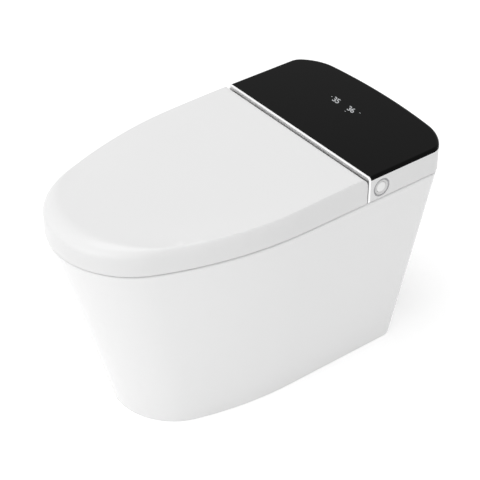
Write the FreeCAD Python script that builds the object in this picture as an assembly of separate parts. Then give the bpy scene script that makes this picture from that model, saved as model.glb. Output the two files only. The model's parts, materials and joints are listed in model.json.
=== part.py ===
import FreeCAD
import Part
import math
import os
from FreeCAD import Vector

# Smart toilet with a heated seat. Millimetres, +Z up, the nose points along -Y.
# The origin is on the floor, under the middle of the plan.

# Overall envelope
OVERALL_LENGTH = 714.0
OVERALL_WIDTH = 400.0
RIM_HEIGHT = 386.0
SEAM_GAP = 3.5
COVER_HEIGHT = 50.5

# Plan of the rim and covers: nose arc, side arcs, compound rear corners, back arc
NOSE_RADIUS = 155.6
WIDEST_Y = 9.4
REAR_CORNER_RADIUS = 32.0
REAR_BLEND_RADIUS = 96.0
REAR_CORNER_SPLIT = math.radians(42.0)
BACK_ARC_RADIUS = 1132.0

# Plan of the foot on the floor
FOOT_SIDE_SETBACK = 53.8
FOOT_NOSE_SETBACK = 104.6
FOOT_BACK_SETBACK = 49.2
FOOT_NOSE_RADIUS = 122.0
FOOT_WIDEST_Y = 26.5
FOOT_CORNER_RADIUS = 28.0
FOOT_BLEND_RADIUS = 84.0

# Ceramic: skirt, deck, bowl and open well
RIM_SETBACK = 1.0
RIM_EDGE_RADIUS = 4.0
SKIRT_WALL = 12.0
DECK_THICKNESS = 16.0
BOWL_WALL = 12.0
BOWL_SIDE_SETBACK = 58.0
BOWL_NOSE_SETBACK = 59.0
BOWL_TO_STRIP = 85.5
BOWL_MOUTH_TAPER = 4.0
LEDGE_DROP = 51.0
LEDGE_DEPTH = 12.0
SUMP_FLOOR = 108.0
SUMP_HALF_X = 40.0
SUMP_HALF_Y = 44.0
SUMP_TO_BOWL_BACK = 107.0
WELL_SIDE_SETBACK = 50.0
WELL_BACK_SETBACK = 47.0
WELL_LENGTH = 215.0
WELL_DEPTH = 116.0
WELL_WALL = 10.0
WELL_CORNER_RADIUS = 18.0
BAY_LEFT_X = -24.0
BAY_RIGHT_X = 90.0
BAY_DEPTH = 45.0
BAY_WALL = 16.0
BACK_OPENING_SIDE_SETBACK = 100.0
BACK_OPENING_LOW = 40.0
BACK_OPENING_BELOW_WELL = 20.0
BACK_OPENING_CORNER = 20.0

# Trapway and drain
TRAP_BORE_RADIUS = 26.0
TRAP_WALL = 10.0
TRAP_BEND_RADIUS = 42.0
TRAP_CREST_COVER = 8.0
TRAP_INLET_RISE = 28.0
TRAP_RISE_SETBACK = 37.0
TRAP_CREST_FRONT = 31.0
TRAP_CREST_BACK = 104.0
TRAP_FALL_Z = 122.0
DRAIN_TURN_Z = 62.0
DRAIN_CLEARANCE = 8.0
ROUGH_IN = 305.0
WALL_GAP = 10.0

# Lid
LID_WALL = 3.0
LID_SHOULDER_DROP = 22.0
LID_SIDE_ROUNDING = 12.3
LID_NOSE_ROUNDING = 37.0
LID_HINGE_GAP = 2.5
LID_BEAD_LIP = math.radians(15.0)
LINER_THICKNESS = 2.0
LINER_DROP = 8.0
LINER_BACK_SETBACK = 17.0
LINER_OVERLAP = 2.0

# Hinge line shared by lid and seat
BEAD_RADIUS = 12.0
KNUCKLE_RADIUS = 8.6
SHAFT_RADIUS = 3.5
RUNNING_CLEARANCE = 0.05
EAR_GAP = 2.0
BRIDGE_SIDE_SETBACK = 72.0
SEAT_EAR_WIDTH = 12.0
LID_EAR_WIDTH = 14.0
DRIVE_RADIUS = 6.4
DRIVE_LENGTH = 72.0
DRIVE_POCKET_END = 24.0
DRIVE_WAIST_PLACE = 0.55
DRIVE_WAIST_DEPTH = 0.6
DRIVE_WAIST_WIDTH = 3.0
SHAFT_SOCKET = 12.0
BRIDGE_WEB_DEPTH = 14.0
BRIDGE_WEB_ANGLE = math.radians(40.0)

# Seat
SEAT_SETBACK = 9.0
SEAT_LIFT = 9.0
SEAT_THICKNESS = 24.0
SEAT_TO_STRIP = 49.5
SEAT_CORNER_RADIUS = 22.0
SEAT_EDGE_RADIUS = 8.0
SEAT_WALL = 3.0
SEAT_BASE_THICKNESS = 3.0
SEAT_HOLE_SIDE_SETBACK = 92.0
SEAT_HOLE_NOSE_SETBACK = 90.0
SEAT_HOLE_BACK_SETBACK = 75.0
SEAT_HOLE_END_SHARE = 0.85
SEAT_ARM_ANGLE = math.radians(35.0)
HEATER_THICKNESS = 0.6
HEATER_MARGIN = 14.0

# Bumpers under the seat and under the lid: setback from the side or nose, and the other coordinate
BUMPER_SEAT_RADIUS = 9.0
BUMPER_LID_RADIUS = 6.0
SEATING_GAP = 0.3
SEAT_BUMPER_SIDE = (35.0, -60.0)
SEAT_BUMPER_NOSE = (60.0, 42.0)
LID_BUMPER_SIDE = (50.0, -40.0)
LID_BUMPER_NOSE = (75.0, 52.0)

# Rear housing, measured forward from its back, and what covers it
REAR_UNIT_LENGTH = 209.5
TRIM_THICKNESS = 4.0
TRIM_EDGE_RADIUS = 1.2
TRIM_WIDTH = 12.0
HOUSING_WALL = 3.0
PANEL_EDGE_RADIUS = 5.8
PANEL_THICKNESS = 3.0
DECK_WALL = 3.0
BOSS_RADIUS = 5.0
SCREW_RADIUS = 2.0
SCREW_LENGTH = 12.0
SCREW_HEAD_RADIUS = 3.6
SCREW_HEAD_HEIGHT = 1.6
FRONT_BOSS_SIDE_SETBACK = 13.0
FRONT_BOSS_BEHIND_STRIP = 12.5
REAR_BOSS_SIDE_SETBACK = 60.0
REAR_BOSS_BACK_SETBACK = 32.0

# Chassis plate that carries the seat unit
CHASSIS_THICKNESS = 3.2
CHASSIS_SETBACK = 8.0
CHASSIS_TO_STRIP = 47.5
CHASSIS_BOLT_SIDE_SETBACK = 29.5
CHASSIS_BOLT_TO_STRIP = 29.5
CHASSIS_BOLT_BACK_SETBACK = 57.0
CHASSIS_SLOT_MARGIN = 2.0
BOLT_RADIUS = 4.0
BOLT_TAIL = 4.0
BOLT_HEAD_RADIUS = 7.0
BOLT_HEAD_HEIGHT = 4.0
BOLT_HEAD_CHAMFER = 2.0
BOLT_NUT_HEIGHT = 6.0

# Side knob
KNOB_BEHIND_STRIP = 29.5
KNOB_DROP = 0.85
KNOB_BAND_MARGIN = 4.35
KNOB_BEZEL_WIDTH = 3.0
KNOB_BEZEL_FLANGE = 2.0
KNOB_RING_WIDTH = 5.0
KNOB_GAP = 0.4
KNOB_DEPTH = 6.0
KNOB_WEB = 2.0
KNOB_HUB_RADIUS = 6.0
KNOB_STEM_RADIUS = 2.5
KNOB_STEM_LENGTH = 12.0
KNOB_PRESS = 2.0
ENCODER_LENGTH = 14.0
ENCODER_HALF_WIDTH = 11.0
ENCODER_GAP = 1.0

# Wash nozzle, in its own frame: the tip is the origin and the wand runs back along +Y
NOZZLE_TILT = 25.0
NOZZLE_TIP_TO_STRIP = 79.5
NOZZLE_TIP_DROP = 24.0
WAND_RADIUS = 8.0
WAND_LENGTH = 130.0
TIP_LENGTH = 16.0
TIP_ROUNDING = 4.8
SPRAY_HOLE_RADIUS = 1.2
SPRAY_HOLE_Y = (8.0, 12.0)
RACK_START = 30.0
RACK_WIDTH = 6.0
RACK_BACKING = 1.75
GEAR_MODULE = 1.0
GEAR_ADDENDUM = 0.8
GEAR_DEDENDUM = 1.1
GEAR_BACKLASH = 0.12
PRESSURE_ANGLE = math.radians(20.0)
PINION_TEETH = 16
PINION_WIDTH = 6.0
PINION_Y = 45.0
PINION_SHAFT_RADIUS = 2.0
CRADLE_HALF_WIDTH = 13.0
CRADLE_WALL = 2.5
CRADLE_ROOF = 2.0
CRADLE_FRONT = 2.0
CRADLE_LENGTH = 118.0
CRADLE_TOP = 10.5
CRADLE_FLOOR = -16.0
CRADLE_CHEEK_HALF = 6.0
CRADLE_CHEEK_DROP = 4.0
CRADLE_FLANGE_BEHIND_STRIP = (8.5, 20.5)
CRADLE_FLANGE_WIDTH = 14.0
CRADLE_FLANGE_THICKNESS = 3.0
CRADLE_FOOT_WIDTH = 6.0
CRADLE_FOOT_TO_STRIP = (65.5, 55.5)
CRADLE_FOOT_DROP = 5.0
GUIDE_LENGTH = 30.0
NOZZLE_MOTOR_RADIUS = 12.0
NOZZLE_MOTOR_LENGTH = 16.0

# Warm air dryer
FAN_X = 92.0
FAN_BEHIND_STRIP = 67.5
FAN_HEIGHT = 36.0
FAN_WALL = 2.0
SCROLL_RADIUS = 27.0
SCROLL_GROWTH = 3.0
OUTLET_LENGTH = 8.0
FAN_INLET_RADIUS = 17.0
WHEEL_RADIUS = 23.0
WHEEL_LIFT = 3.0
WHEEL_DISC = 2.0
WHEEL_RING_WIDTH = 2.0
WHEEL_RING_THICKNESS = 1.5
WHEEL_HUB_RADIUS = 7.0
WHEEL_HUB_HEIGHT = 10.0
WHEEL_HEIGHT = 24.0
BLADE_COUNT = 24
BLADE_INNER_RADIUS = 17.0
BLADE_TIP_SETBACK = 0.4
BLADE_THICKNESS = 1.0
BLADE_LEAN = math.radians(16.0)
BLADE_CURVE = 0.35
FAN_MOTOR_RADIUS = 14.0
FAN_MOTOR_LENGTH = 22.0
FAN_SHAFT_RADIUS = 2.0
FAN_SHAFT_DEPTH = 10.0
DUCT_LEFT_X = 34.0
DUCT_RIGHT_X = 84.0
DUCT_MOUTH_TO_STRIP = 79.5
DUCT_MOUTH_DROP = 40.0
DUCT_HEIGHT = 32.0
DUCT_KNEE_TO_STRIP = 13.5
DUCT_KNEE_DROP = 37.0
DUCT_WALL = 2.0
DUCT_SLOT_MARGIN = 4.0
PASSAGE_CLEARANCE = 1.5
FLAP_THICKNESS = 2.0
FLAP_PIN_RADIUS = 1.2
FLAP_BARREL_RADIUS = 2.2
FLAP_LUG_WIDTH = 3.0
FLAP_LUG_DROP = 4.0
FLAP_LUG_ROOT = 6.0

# Water side, in the well of the ceramic
TANK_SIDE_GAP = 5.0
TANK_TO_PUMP = 65.0
TANK_BEHIND_WELL_FRONT = 70.0
TANK_BACK_GAP = 8.0
TANK_HEIGHT = 102.0
TANK_WALL = 3.0
TANK_CORNER = 14.0
TANK_PORT_DROP = 15.0
TANK_PORT_RADIUS = 6.0
PUMP_SIDE_GAP = 75.0
PUMP_BEHIND_WELL_FRONT = 140.0
PUMP_RADIUS = 26.0
PUMP_CHAMFER = 6.0
PUMP_SUCTION_RADIUS = 9.0
PUMP_OUTLET_LENGTH = 6.0
PUMP_OUTLET_WALL = 1.5
VOLUTE_RADIUS = 30.0
VOLUTE_HEIGHT = 28.0
PUMP_HEIGHT = 78.0
VALVE_SIDE_GAP = 32.0
VALVE_BEHIND_WELL_FRONT = 167.0
VALVE_RADIUS = 13.0
VALVE_BASE_LIFT = 22.0
VALVE_BASE_WIDTH = 3.0
VALVE_HEIGHT = 74.0
COIL_HALF_WIDTH = 14.0
COIL_LIFT = 26.0
COIL_HEIGHT = 24.0
HOSE_RADIUS = 9.5
HOSE_BORE = 6.5
HOSE_BEND = 22.0
HOSE_TAIL = 12.0
RIM_PORT_X = -75.0
RIM_PORT_DROP = 32.0
PORT_WALL = 8.0

# Connections in the back opening
INLET_TO_VALVE = 58.0
INLET_BELOW_WELL = 80.0
INLET_TAIL = 6.0
INLET_THREAD_RADIUS = 10.475
INLET_THREAD_LENGTH = 14.0
INLET_HEXAGON_RADIUS = 14.0
COLLAR_THICKNESS = 5.0
GLAND_X = -30.0
GLAND_RADIUS = 9.0
GLAND_COLLAR_WIDTH = 4.0
GLAND_LENGTH = 14.0
GLAND_BORE_RADIUS = 4.0
BRACKET_TO_WELL_BACK = 7.0
BRACKET_THICKNESS = 3.0
BRACKET_MARGIN = 32.0
BRACKET_BELOW_INLET = 40.0
BRACKET_FLANGE = 22.0

# Pieces on the chassis
HEATER_SIDE_SETBACK = 20.0
HEATER_WIDTH = 94.0
HEATER_BEHIND_STRIP = (24.5, 96.5)
HEATER_HEIGHT = 34.0
HEATER_CORNER = 8.0
HEATER_EDGE = 3.0
HEATER_PORT_RADIUS = 5.0
HEATER_PORT_LIFT = 15.0
DIVERTER_X = -52.0
DIVERTER_BEHIND_STRIP = 34.5
DIVERTER_RADIUS = 12.0
DIVERTER_HEIGHT = 30.0
DIVERTER_CAP_SETBACK = 3.0
DIVERTER_CAP_HEIGHT = 6.0
SUPPLY_SIDE_SETBACK = 22.0
SUPPLY_WIDTH = 86.0
SUPPLY_BEHIND_STRIP = (102.5, 142.5)
SUPPLY_BOARD_THICKNESS = 2.0
TRANSFORMER_WIDTH = 32.0
TRANSFORMER_MARGIN = 8.0
TRANSFORMER_HEIGHT = 28.0
CAPACITOR_RADIUS = 7.0
CAPACITOR_HEIGHT = 27.0
CAPACITOR_MARGIN = (14.0, 12.0)
BOARD_LEFT_SETBACK = 128.0
BOARD_RIGHT_SETBACK = 138.0
BOARD_BEHIND_STRIP = (114.5, 184.5)
BOARD_THICKNESS = 1.6
BOARD_LIFT = 6.0
BOARD_PILLAR_RADIUS = 3.0
BOARD_PILLAR_MARGIN = 6.0
CHIP_SIZE = 14.0
CHIP_HEIGHT = 2.0
CHIP_PLACES = (20.0, 60.0)
CHIP_MARGIN = 26.0
SOCKET_WIDTH = 12.0
SOCKET_DEPTH = 10.0
SOCKET_HEIGHT = 8.0
SOCKET_COUNT = 4
SOCKET_MARGIN = (20.0, 2.0)
DEODORISER_SIDE_SETBACK = 22.0
DEODORISER_WIDTH = 82.0
DEODORISER_BEHIND_STRIP = (102.5, 142.5)
DEODORISER_HEIGHT = 30.0
DEODORISER_CORNER = 5.0
GRILLE_SLOTS = 10
GRILLE_SLOT_WIDTH = 3.0
GRILLE_PITCH = 7.0
GRILLE_MARGIN = (8.0, 6.0)
GRILLE_DEPTH = 2.0

# Boards behind the glass
PANEL_BOARD_THICKNESS = 1.2
DISPLAY_X = (-70.0, 50.0)
DISPLAY_BEHIND_STRIP = (108.5, 136.5)
DIGIT_PLACES = (24.0, 40.0, 68.0, 84.0)
DIGIT_WIDTH = 12.0
DIGIT_MARGIN = 6.0
SENSOR_SIDE_SETBACK = 50.0
SENSOR_WIDTH = 40.0
SENSOR_BEHIND_STRIP = (20.5, 52.5)
SENSOR_CAN_MARGIN = (8.0, 6.0)
PANEL_BOARD_PART_HEIGHT = 1.0

# Sizes that follow from the ones above: plan
HALF_WIDTH = OVERALL_WIDTH / 2
NOSE_Y = -OVERALL_LENGTH / 2
BACK_Y = OVERALL_LENGTH / 2
TRIM_FRONT_Y = BACK_Y - REAR_UNIT_LENGTH
HOUSING_FRONT = TRIM_FRONT_Y + TRIM_THICKNESS
HINGE_Y = TRIM_FRONT_Y - LID_HINGE_GAP - BEAD_RADIUS
BOWL_BACK_Y = TRIM_FRONT_Y - BOWL_TO_STRIP
BOWL_FRONT_Y = NOSE_Y + BOWL_NOSE_SETBACK
BOWL_HALF_X = HALF_WIDTH - BOWL_SIDE_SETBACK
BOWL_HALF_Y = (BOWL_BACK_Y - BOWL_FRONT_Y) / 2
BOWL_CENTRE_Y = (BOWL_BACK_Y + BOWL_FRONT_Y) / 2
SUMP_CENTRE_Y = BOWL_BACK_Y - SUMP_TO_BOWL_BACK
WELL_HALF_X = HALF_WIDTH - WELL_SIDE_SETBACK
WELL_BACK_Y = BACK_Y - WELL_BACK_SETBACK
WELL_FRONT_Y = WELL_BACK_Y - WELL_LENGTH
TRAP_RISE_Y = BOWL_BACK_Y - TRAP_RISE_SETBACK
TRAP_CREST_FRONT_Y = BOWL_BACK_Y + TRAP_CREST_FRONT
TRAP_CREST_BACK_Y = BOWL_BACK_Y + TRAP_CREST_BACK
DRAIN_Y = BACK_Y + WALL_GAP - ROUGH_IN
SEAT_BACK_Y = TRIM_FRONT_Y - SEAT_TO_STRIP
SEAT_HOLE_HALF_X = HALF_WIDTH - SEAT_HOLE_SIDE_SETBACK
SEAT_HOLE_END_RADIUS = SEAT_HOLE_HALF_X * SEAT_HOLE_END_SHARE
SEAT_HOLE_BACK_Y = SEAT_BACK_Y - SEAT_HOLE_BACK_SETBACK
SEAT_HOLE_FRONT_Y = NOSE_Y + SEAT_HOLE_NOSE_SETBACK
CHASSIS_FRONT_Y = TRIM_FRONT_Y - CHASSIS_TO_STRIP
CHASSIS_BOLT_X = HALF_WIDTH - CHASSIS_BOLT_SIDE_SETBACK
CHASSIS_BOLT_Y = (TRIM_FRONT_Y - CHASSIS_BOLT_TO_STRIP, BACK_Y - CHASSIS_BOLT_BACK_SETBACK)
BRIDGE_HALF_X = HALF_WIDTH - BRIDGE_SIDE_SETBACK
SEAT_EAR_START = BRIDGE_HALF_X + EAR_GAP
LID_EAR_START = SEAT_EAR_START + SEAT_EAR_WIDTH + EAR_GAP
LID_EAR_END = LID_EAR_START + LID_EAR_WIDTH
DRIVE_START = BRIDGE_HALF_X - DRIVE_POCKET_END
KNOB_Y = TRIM_FRONT_Y + KNOB_BEHIND_STRIP
NOZZLE_TIP_Y = TRIM_FRONT_Y - NOZZLE_TIP_TO_STRIP
FAN_Y = TRIM_FRONT_Y + FAN_BEHIND_STRIP
FAN_OUTLET_Y = FAN_Y - SCROLL_RADIUS - OUTLET_LENGTH
DUCT_FRONT_Y = TRIM_FRONT_Y - DUCT_MOUTH_TO_STRIP
DUCT_KNEE_Y = TRIM_FRONT_Y - DUCT_KNEE_TO_STRIP
PUMP_X = WELL_HALF_X - PUMP_SIDE_GAP
TANK_X = (TANK_SIDE_GAP - WELL_HALF_X, PUMP_X - TANK_TO_PUMP)
TANK_Y = (WELL_FRONT_Y + TANK_BEHIND_WELL_FRONT, WELL_BACK_Y - TANK_BACK_GAP)
PUMP_Y = WELL_FRONT_Y + PUMP_BEHIND_WELL_FRONT
VALVE_X = WELL_HALF_X - VALVE_SIDE_GAP
VALVE_Y = WELL_FRONT_Y + VALVE_BEHIND_WELL_FRONT
INLET_X = VALVE_X - INLET_TO_VALVE
BRACKET_X = (GLAND_X - BRACKET_MARGIN, INLET_X + BRACKET_MARGIN)
BRACKET_Y = WELL_BACK_Y - BRACKET_TO_WELL_BACK
CONNECTION_START_Y = BRACKET_Y - BRACKET_THICKNESS - INLET_TAIL

# Sizes that follow: heights
COVER_LOW = RIM_HEIGHT + SEAM_GAP
OVERALL_HEIGHT = COVER_LOW + COVER_HEIGHT
LEDGE_HEIGHT = RIM_HEIGHT - LEDGE_DROP
WELL_FLOOR = RIM_HEIGHT - WELL_DEPTH
BAY_FLOOR = RIM_HEIGHT - BAY_DEPTH
DECK_LOW = RIM_HEIGHT - DECK_THICKNESS
BACK_OPENING_HIGH = WELL_FLOOR - BACK_OPENING_BELOW_WELL
TRAP_INLET_Z = SUMP_FLOOR + TRAP_INLET_RISE
TRAP_CREST_Z = WELL_FLOOR - TRAP_BORE_RADIUS - TRAP_CREST_COVER
HINGE_Z = OVERALL_HEIGHT - BEAD_RADIUS
LID_SHOULDER = OVERALL_HEIGHT - LID_SHOULDER_DROP
PANEL_LOW = OVERALL_HEIGHT - PANEL_EDGE_RADIUS
HOUSING_DECK = PANEL_LOW - DECK_WALL
CHASSIS_TOP = RIM_HEIGHT + CHASSIS_THICKNESS
SEAT_LOW = RIM_HEIGHT + SEAT_LIFT
SEAT_TOP = SEAT_LOW + SEAT_THICKNESS
LINER_LOW = OVERALL_HEIGHT - LID_WALL - LINER_DROP
KNOB_Z = (COVER_LOW + PANEL_LOW) / 2 - KNOB_DROP
KNOB_BEZEL_RADIUS = (PANEL_LOW - COVER_LOW) / 2 - KNOB_BAND_MARGIN
KNOB_RING_RADIUS = KNOB_BEZEL_RADIUS - KNOB_BEZEL_WIDTH
KNOB_BUTTON_RADIUS = KNOB_RING_RADIUS - KNOB_RING_WIDTH
NOZZLE_TIP_Z = RIM_HEIGHT - NOZZLE_TIP_DROP
DUCT_FRONT_LOW = RIM_HEIGHT - DUCT_MOUTH_DROP
DUCT_KNEE_LOW = RIM_HEIGHT - DUCT_KNEE_DROP
WHEEL_LOW = CHASSIS_TOP + FAN_WALL + WHEEL_LIFT
RIM_PORT_Z = RIM_HEIGHT - RIM_PORT_DROP
INLET_Z = WELL_FLOOR - INLET_BELOW_WELL

# Sizes that follow: fits
BORE_RADIUS = SHAFT_RADIUS + RUNNING_CLEARANCE
PINION_RADIUS = GEAR_MODULE * PINION_TEETH / 2
PITCH_LINE_Z = -(WAND_RADIUS + RACK_BACKING + GEAR_ADDENDUM)
PINION_Z = PITCH_LINE_Z - PINION_RADIUS
DRAIN_RADIUS = TRAP_BORE_RADIUS + TRAP_WALL
FLAP_AXIS_Y = DUCT_FRONT_Y - FLAP_BARREL_RADIUS - SEATING_GAP
FLAP_AXIS_Z = DUCT_FRONT_LOW + DUCT_HEIGHT - FLAP_BARREL_RADIUS
FAR = 1000.0
CUT_MARGIN = 1.0
X_AXIS = Vector(1, 0, 0)
Y_AXIS = Vector(0, 1, 0)
Z_AXIS = Vector(0, 0, 1)


# Basic forms

def box(x_range, y_range, z_range):
    """Block between two planes on each axis."""
    corner = Vector(x_range[0], y_range[0], z_range[0])
    sizes = [high - low for low, high in (x_range, y_range, z_range)]
    return Part.makeBox(sizes[0], sizes[1], sizes[2], corner)


def rounded_box(x_range, y_range, z_range, radius, axis=Z_AXIS):
    """Block whose four edges along one axis are rounded."""
    block = box(x_range, y_range, z_range)
    edges = [e for e in block.Edges if abs(e.tangentAt(e.FirstParameter).dot(axis)) > 0.9]
    return block.makeFillet(radius, edges)


def cylinder(radius, start, axis, length):
    return Part.makeCylinder(radius, length, start, axis)


def tube(outer_radius, inner_radius, start, axis, length):
    outer = cylinder(outer_radius, start, axis, length)
    return outer.cut(cylinder(inner_radius, start, axis, length))


def fuse(shapes):
    """One solid from touching shapes."""
    return shapes[0].multiFuse(shapes[1:]).removeSplitter()


def cut(shape, tools):
    return shape.cut(Part.makeCompound(tools))


def group(shapes):
    """Separate identical pieces that share one node."""
    return Part.makeCompound(shapes)


def mirror_x(shape):
    return shape.mirror(Vector(0, 0, 0), X_AXIS)


def both_sides(shape):
    return [shape, mirror_x(shape)]


def chain(curves):
    return Part.Wire([curve.toShape() for curve in curves])


def prism(wire, vector):
    return Part.Face(wire).extrude(vector)


def polygon_yz(points, x):
    """Closed outline of straight edges in the plane of the given x."""
    corners = [Vector(x, y, z) for y, z in points]
    return Part.makePolygon(corners + corners[:1])


def ellipse(centre, half_x, half_y):
    if half_y >= half_x:
        curve = Part.Ellipse(centre + Vector(0, half_y, 0), centre + Vector(half_x, 0, 0), centre)
    else:
        curve = Part.Ellipse(centre + Vector(half_x, 0, 0), centre + Vector(0, half_y, 0), centre)
    return Part.Wire([curve.toShape()])


def oval(centre, half_x, half_y, end_radius):
    """Oval of four tangent arcs, longer along y."""
    reach = half_y - end_radius
    side_radius = (half_x ** 2 + reach ** 2 - end_radius ** 2) / (2 * (half_x - end_radius))
    turn = math.atan2(reach, side_radius - half_x)
    corner_x = half_x - side_radius + side_radius * math.cos(turn)
    corner_y = side_radius * math.sin(turn)
    right_low, right_high = centre + Vector(corner_x, -corner_y, 0), centre + Vector(corner_x, corner_y, 0)
    left_low, left_high = centre + Vector(-corner_x, -corner_y, 0), centre + Vector(-corner_x, corner_y, 0)
    return chain([Part.Arc(right_low, centre + Vector(half_x, 0, 0), right_high),
                  Part.Arc(right_high, centre + Vector(0, half_y, 0), left_high),
                  Part.Arc(left_high, centre + Vector(-half_x, 0, 0), left_low),
                  Part.Arc(left_low, centre + Vector(0, -half_y, 0), right_low)])


def rectangle_at_y(x_range, y, z_range):
    corners = [Vector(x, y, z) for x, z in (
        (x_range[0], z_range[0]), (x_range[1], z_range[0]),
        (x_range[1], z_range[1]), (x_range[0], z_range[1]))]
    return Part.makePolygon(corners + corners[:1])


def bent_path(points, bend_radius):
    """Straight runs joined by tangent arcs."""
    pieces = []
    start = points[0]
    for before, corner, after in zip(points, points[1:], points[2:]):
        arriving = (corner - before).normalize()
        leaving = (after - corner).normalize()
        half_turn = arriving.getAngle(leaving) / 2
        reach = bend_radius * math.tan(half_turn)
        first = corner - arriving * reach
        last = corner + leaving * reach
        inward = (leaving - arriving).normalize()
        centre = corner + inward * (bend_radius / math.cos(half_turn))
        pieces.append(Part.LineSegment(start, first))
        pieces.append(Part.Arc(first, centre - inward * bend_radius, last))
        start = last
    pieces.append(Part.LineSegment(start, points[-1]))
    return chain(pieces)


def rod(points, bend_radius, radius):
    """Round bar along a bent path."""
    path = bent_path(points, bend_radius)
    heading = (points[1] - points[0]).normalize()
    section = Part.Wire([Part.makeCircle(radius, points[0], heading)])
    return path.makePipeShell([section], True, False)


def hose(points, bend_radius, outer_radius, bore_radius):
    return rod(points, bend_radius, outer_radius).cut(rod(points, bend_radius, bore_radius))


# Plan outline

class Outline:
    """Plan seen from above, symmetric about x = 0, made of arcs and short straights."""

    def __init__(self, half_width, nose_y, nose_radius, widest_y, back_y,
                 corner_radius, blend_radius, back_radius):
        self.half_width = half_width
        self.nose_y = nose_y
        self.nose_radius = nose_radius
        self.widest_y = widest_y
        self.back_y = back_y
        self.corner_radius = corner_radius
        self.blend_radius = blend_radius
        self.back_radius = back_radius

    def inset(self, distance):
        """The same outline offset inwards."""
        return Outline(self.half_width - distance, self.nose_y + distance,
                       self.nose_radius - distance, self.widest_y, self.back_y - distance,
                       self.corner_radius - distance, self.blend_radius - distance,
                       self.back_radius - distance)

    def narrowed(self, side, nose):
        """The same outline with its sides and its nose drawn in by different amounts."""
        return Outline(self.half_width - side, self.nose_y + nose, self.nose_radius,
                       self.widest_y, self.back_y, self.corner_radius,
                       self.blend_radius, self.back_radius)

    def side_points(self):
        """Start, middle and end of the side arc, from its widest point to the nose arc."""
        nose_centre_y = self.nose_y + self.nose_radius
        drop = self.widest_y - nose_centre_y
        square_sum = self.half_width ** 2 + drop ** 2 - self.nose_radius ** 2
        radius = square_sum / (2 * (self.half_width - self.nose_radius))
        centre_x = self.half_width - radius
        sweep = math.atan2(nose_centre_y - self.widest_y, -centre_x)
        return [(centre_x + radius * math.cos(part * sweep),
                 self.widest_y + radius * math.sin(part * sweep)) for part in (0, 0.5, 1)]

    def corner_points(self):
        """Points along the rear corner: side, small arc, split, blend arc, back arc."""
        split = REAR_CORNER_SPLIT
        corner_x = self.half_width - self.corner_radius
        growth = self.blend_radius - self.corner_radius
        blend_x = corner_x - growth * math.cos(split)
        back_centre_y = self.back_y - self.back_radius
        blend_y = back_centre_y + math.sqrt((self.back_radius - self.blend_radius) ** 2 - blend_x ** 2)
        corner_y = blend_y + growth * math.sin(split)
        end = math.atan2(blend_y - back_centre_y, blend_x)
        points = [(corner_x + self.corner_radius * math.cos(angle),
                   corner_y + self.corner_radius * math.sin(angle)) for angle in (0, split / 2, split)]
        points += [(blend_x + self.blend_radius * math.cos(angle),
                    blend_y + self.blend_radius * math.sin(angle)) for angle in ((split + end) / 2, end)]
        return points

    def nose_curves(self, place):
        """Side arcs and nose arc, from the +X widest point round to the -X one."""
        right = [place(x, y) for x, y in self.side_points()]
        left = [place(-x, y) for x, y in self.side_points()]
        tip = place(0, self.nose_y)
        return [Part.Arc(right[0], right[1], right[2]), Part.Arc(right[2], tip, left[2]),
                Part.Arc(left[2], left[1], left[0])]

    def back_curves(self, place):
        """Corner arcs and back arc, from the -X side round to the +X one."""
        right = [place(x, y) for x, y in self.corner_points()]
        left = [place(-x, y) for x, y in self.corner_points()]
        tip = place(0, self.back_y)
        return [Part.Arc(left[0], left[1], left[2]), Part.Arc(left[2], left[3], left[4]),
                Part.Arc(left[4], tip, right[4]),
                Part.Arc(right[4], right[3], right[2]), Part.Arc(right[2], right[1], right[0])]

    def full_wire(self, z):
        def place(x, y):
            return Vector(x, y, z)
        half, side_y = self.half_width, self.corner_points()[0][1]
        curves = self.nose_curves(place)
        curves.append(Part.LineSegment(place(-half, self.widest_y), place(-half, side_y)))
        curves += self.back_curves(place)
        curves.append(Part.LineSegment(place(half, side_y), place(half, self.widest_y)))
        return chain(curves)

    def front_wire(self, z, cut_y, corner=0.0):
        """The part in front of a straight edge, whose corners may be rounded."""
        def place(x, y):
            return Vector(x, y, z)
        half = self.half_width
        curves = self.nose_curves(place)
        curves.append(Part.LineSegment(place(-half, self.widest_y), place(-half, cut_y - corner)))
        if corner > 0:
            curves += self.edge_corner(place, -1, cut_y, corner)
        curves.append(Part.LineSegment(place(corner - half, cut_y), place(half - corner, cut_y)))
        if corner > 0:
            curves += self.edge_corner(place, 1, cut_y, corner)
        curves.append(Part.LineSegment(place(half, cut_y - corner), place(half, self.widest_y)))
        return chain(curves)

    def edge_corner(self, place, side, cut_y, corner):
        """Quarter arc where the straight rear edge meets one side."""
        centre_x = side * (self.half_width - corner)
        diagonal = corner * math.sqrt(0.5)
        ends = [place(side * self.half_width, cut_y - corner), place(centre_x, cut_y)]
        if side > 0:
            ends.reverse()
        middle = place(centre_x + side * diagonal, cut_y - corner + diagonal)
        return [Part.Arc(ends[0], middle, ends[1])]

    def rear_wire(self, z, cut_y):
        """The part behind a straight edge."""
        def place(x, y):
            return Vector(x, y, z)
        half, side_y = self.half_width, self.corner_points()[0][1]
        curves = [Part.LineSegment(place(half, cut_y), place(-half, cut_y)),
                  Part.LineSegment(place(-half, cut_y), place(-half, side_y))]
        curves += self.back_curves(place)
        curves.append(Part.LineSegment(place(half, side_y), place(half, cut_y)))
        return chain(curves)


COVER_PLAN = Outline(HALF_WIDTH, NOSE_Y, NOSE_RADIUS, WIDEST_Y, BACK_Y,
                     REAR_CORNER_RADIUS, REAR_BLEND_RADIUS, BACK_ARC_RADIUS)
FOOT_PLAN = Outline(HALF_WIDTH - FOOT_SIDE_SETBACK, NOSE_Y + FOOT_NOSE_SETBACK, FOOT_NOSE_RADIUS,
                    FOOT_WIDEST_Y, BACK_Y - FOOT_BACK_SETBACK, FOOT_CORNER_RADIUS, FOOT_BLEND_RADIUS,
                    BACK_ARC_RADIUS)


# Ceramic

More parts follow.
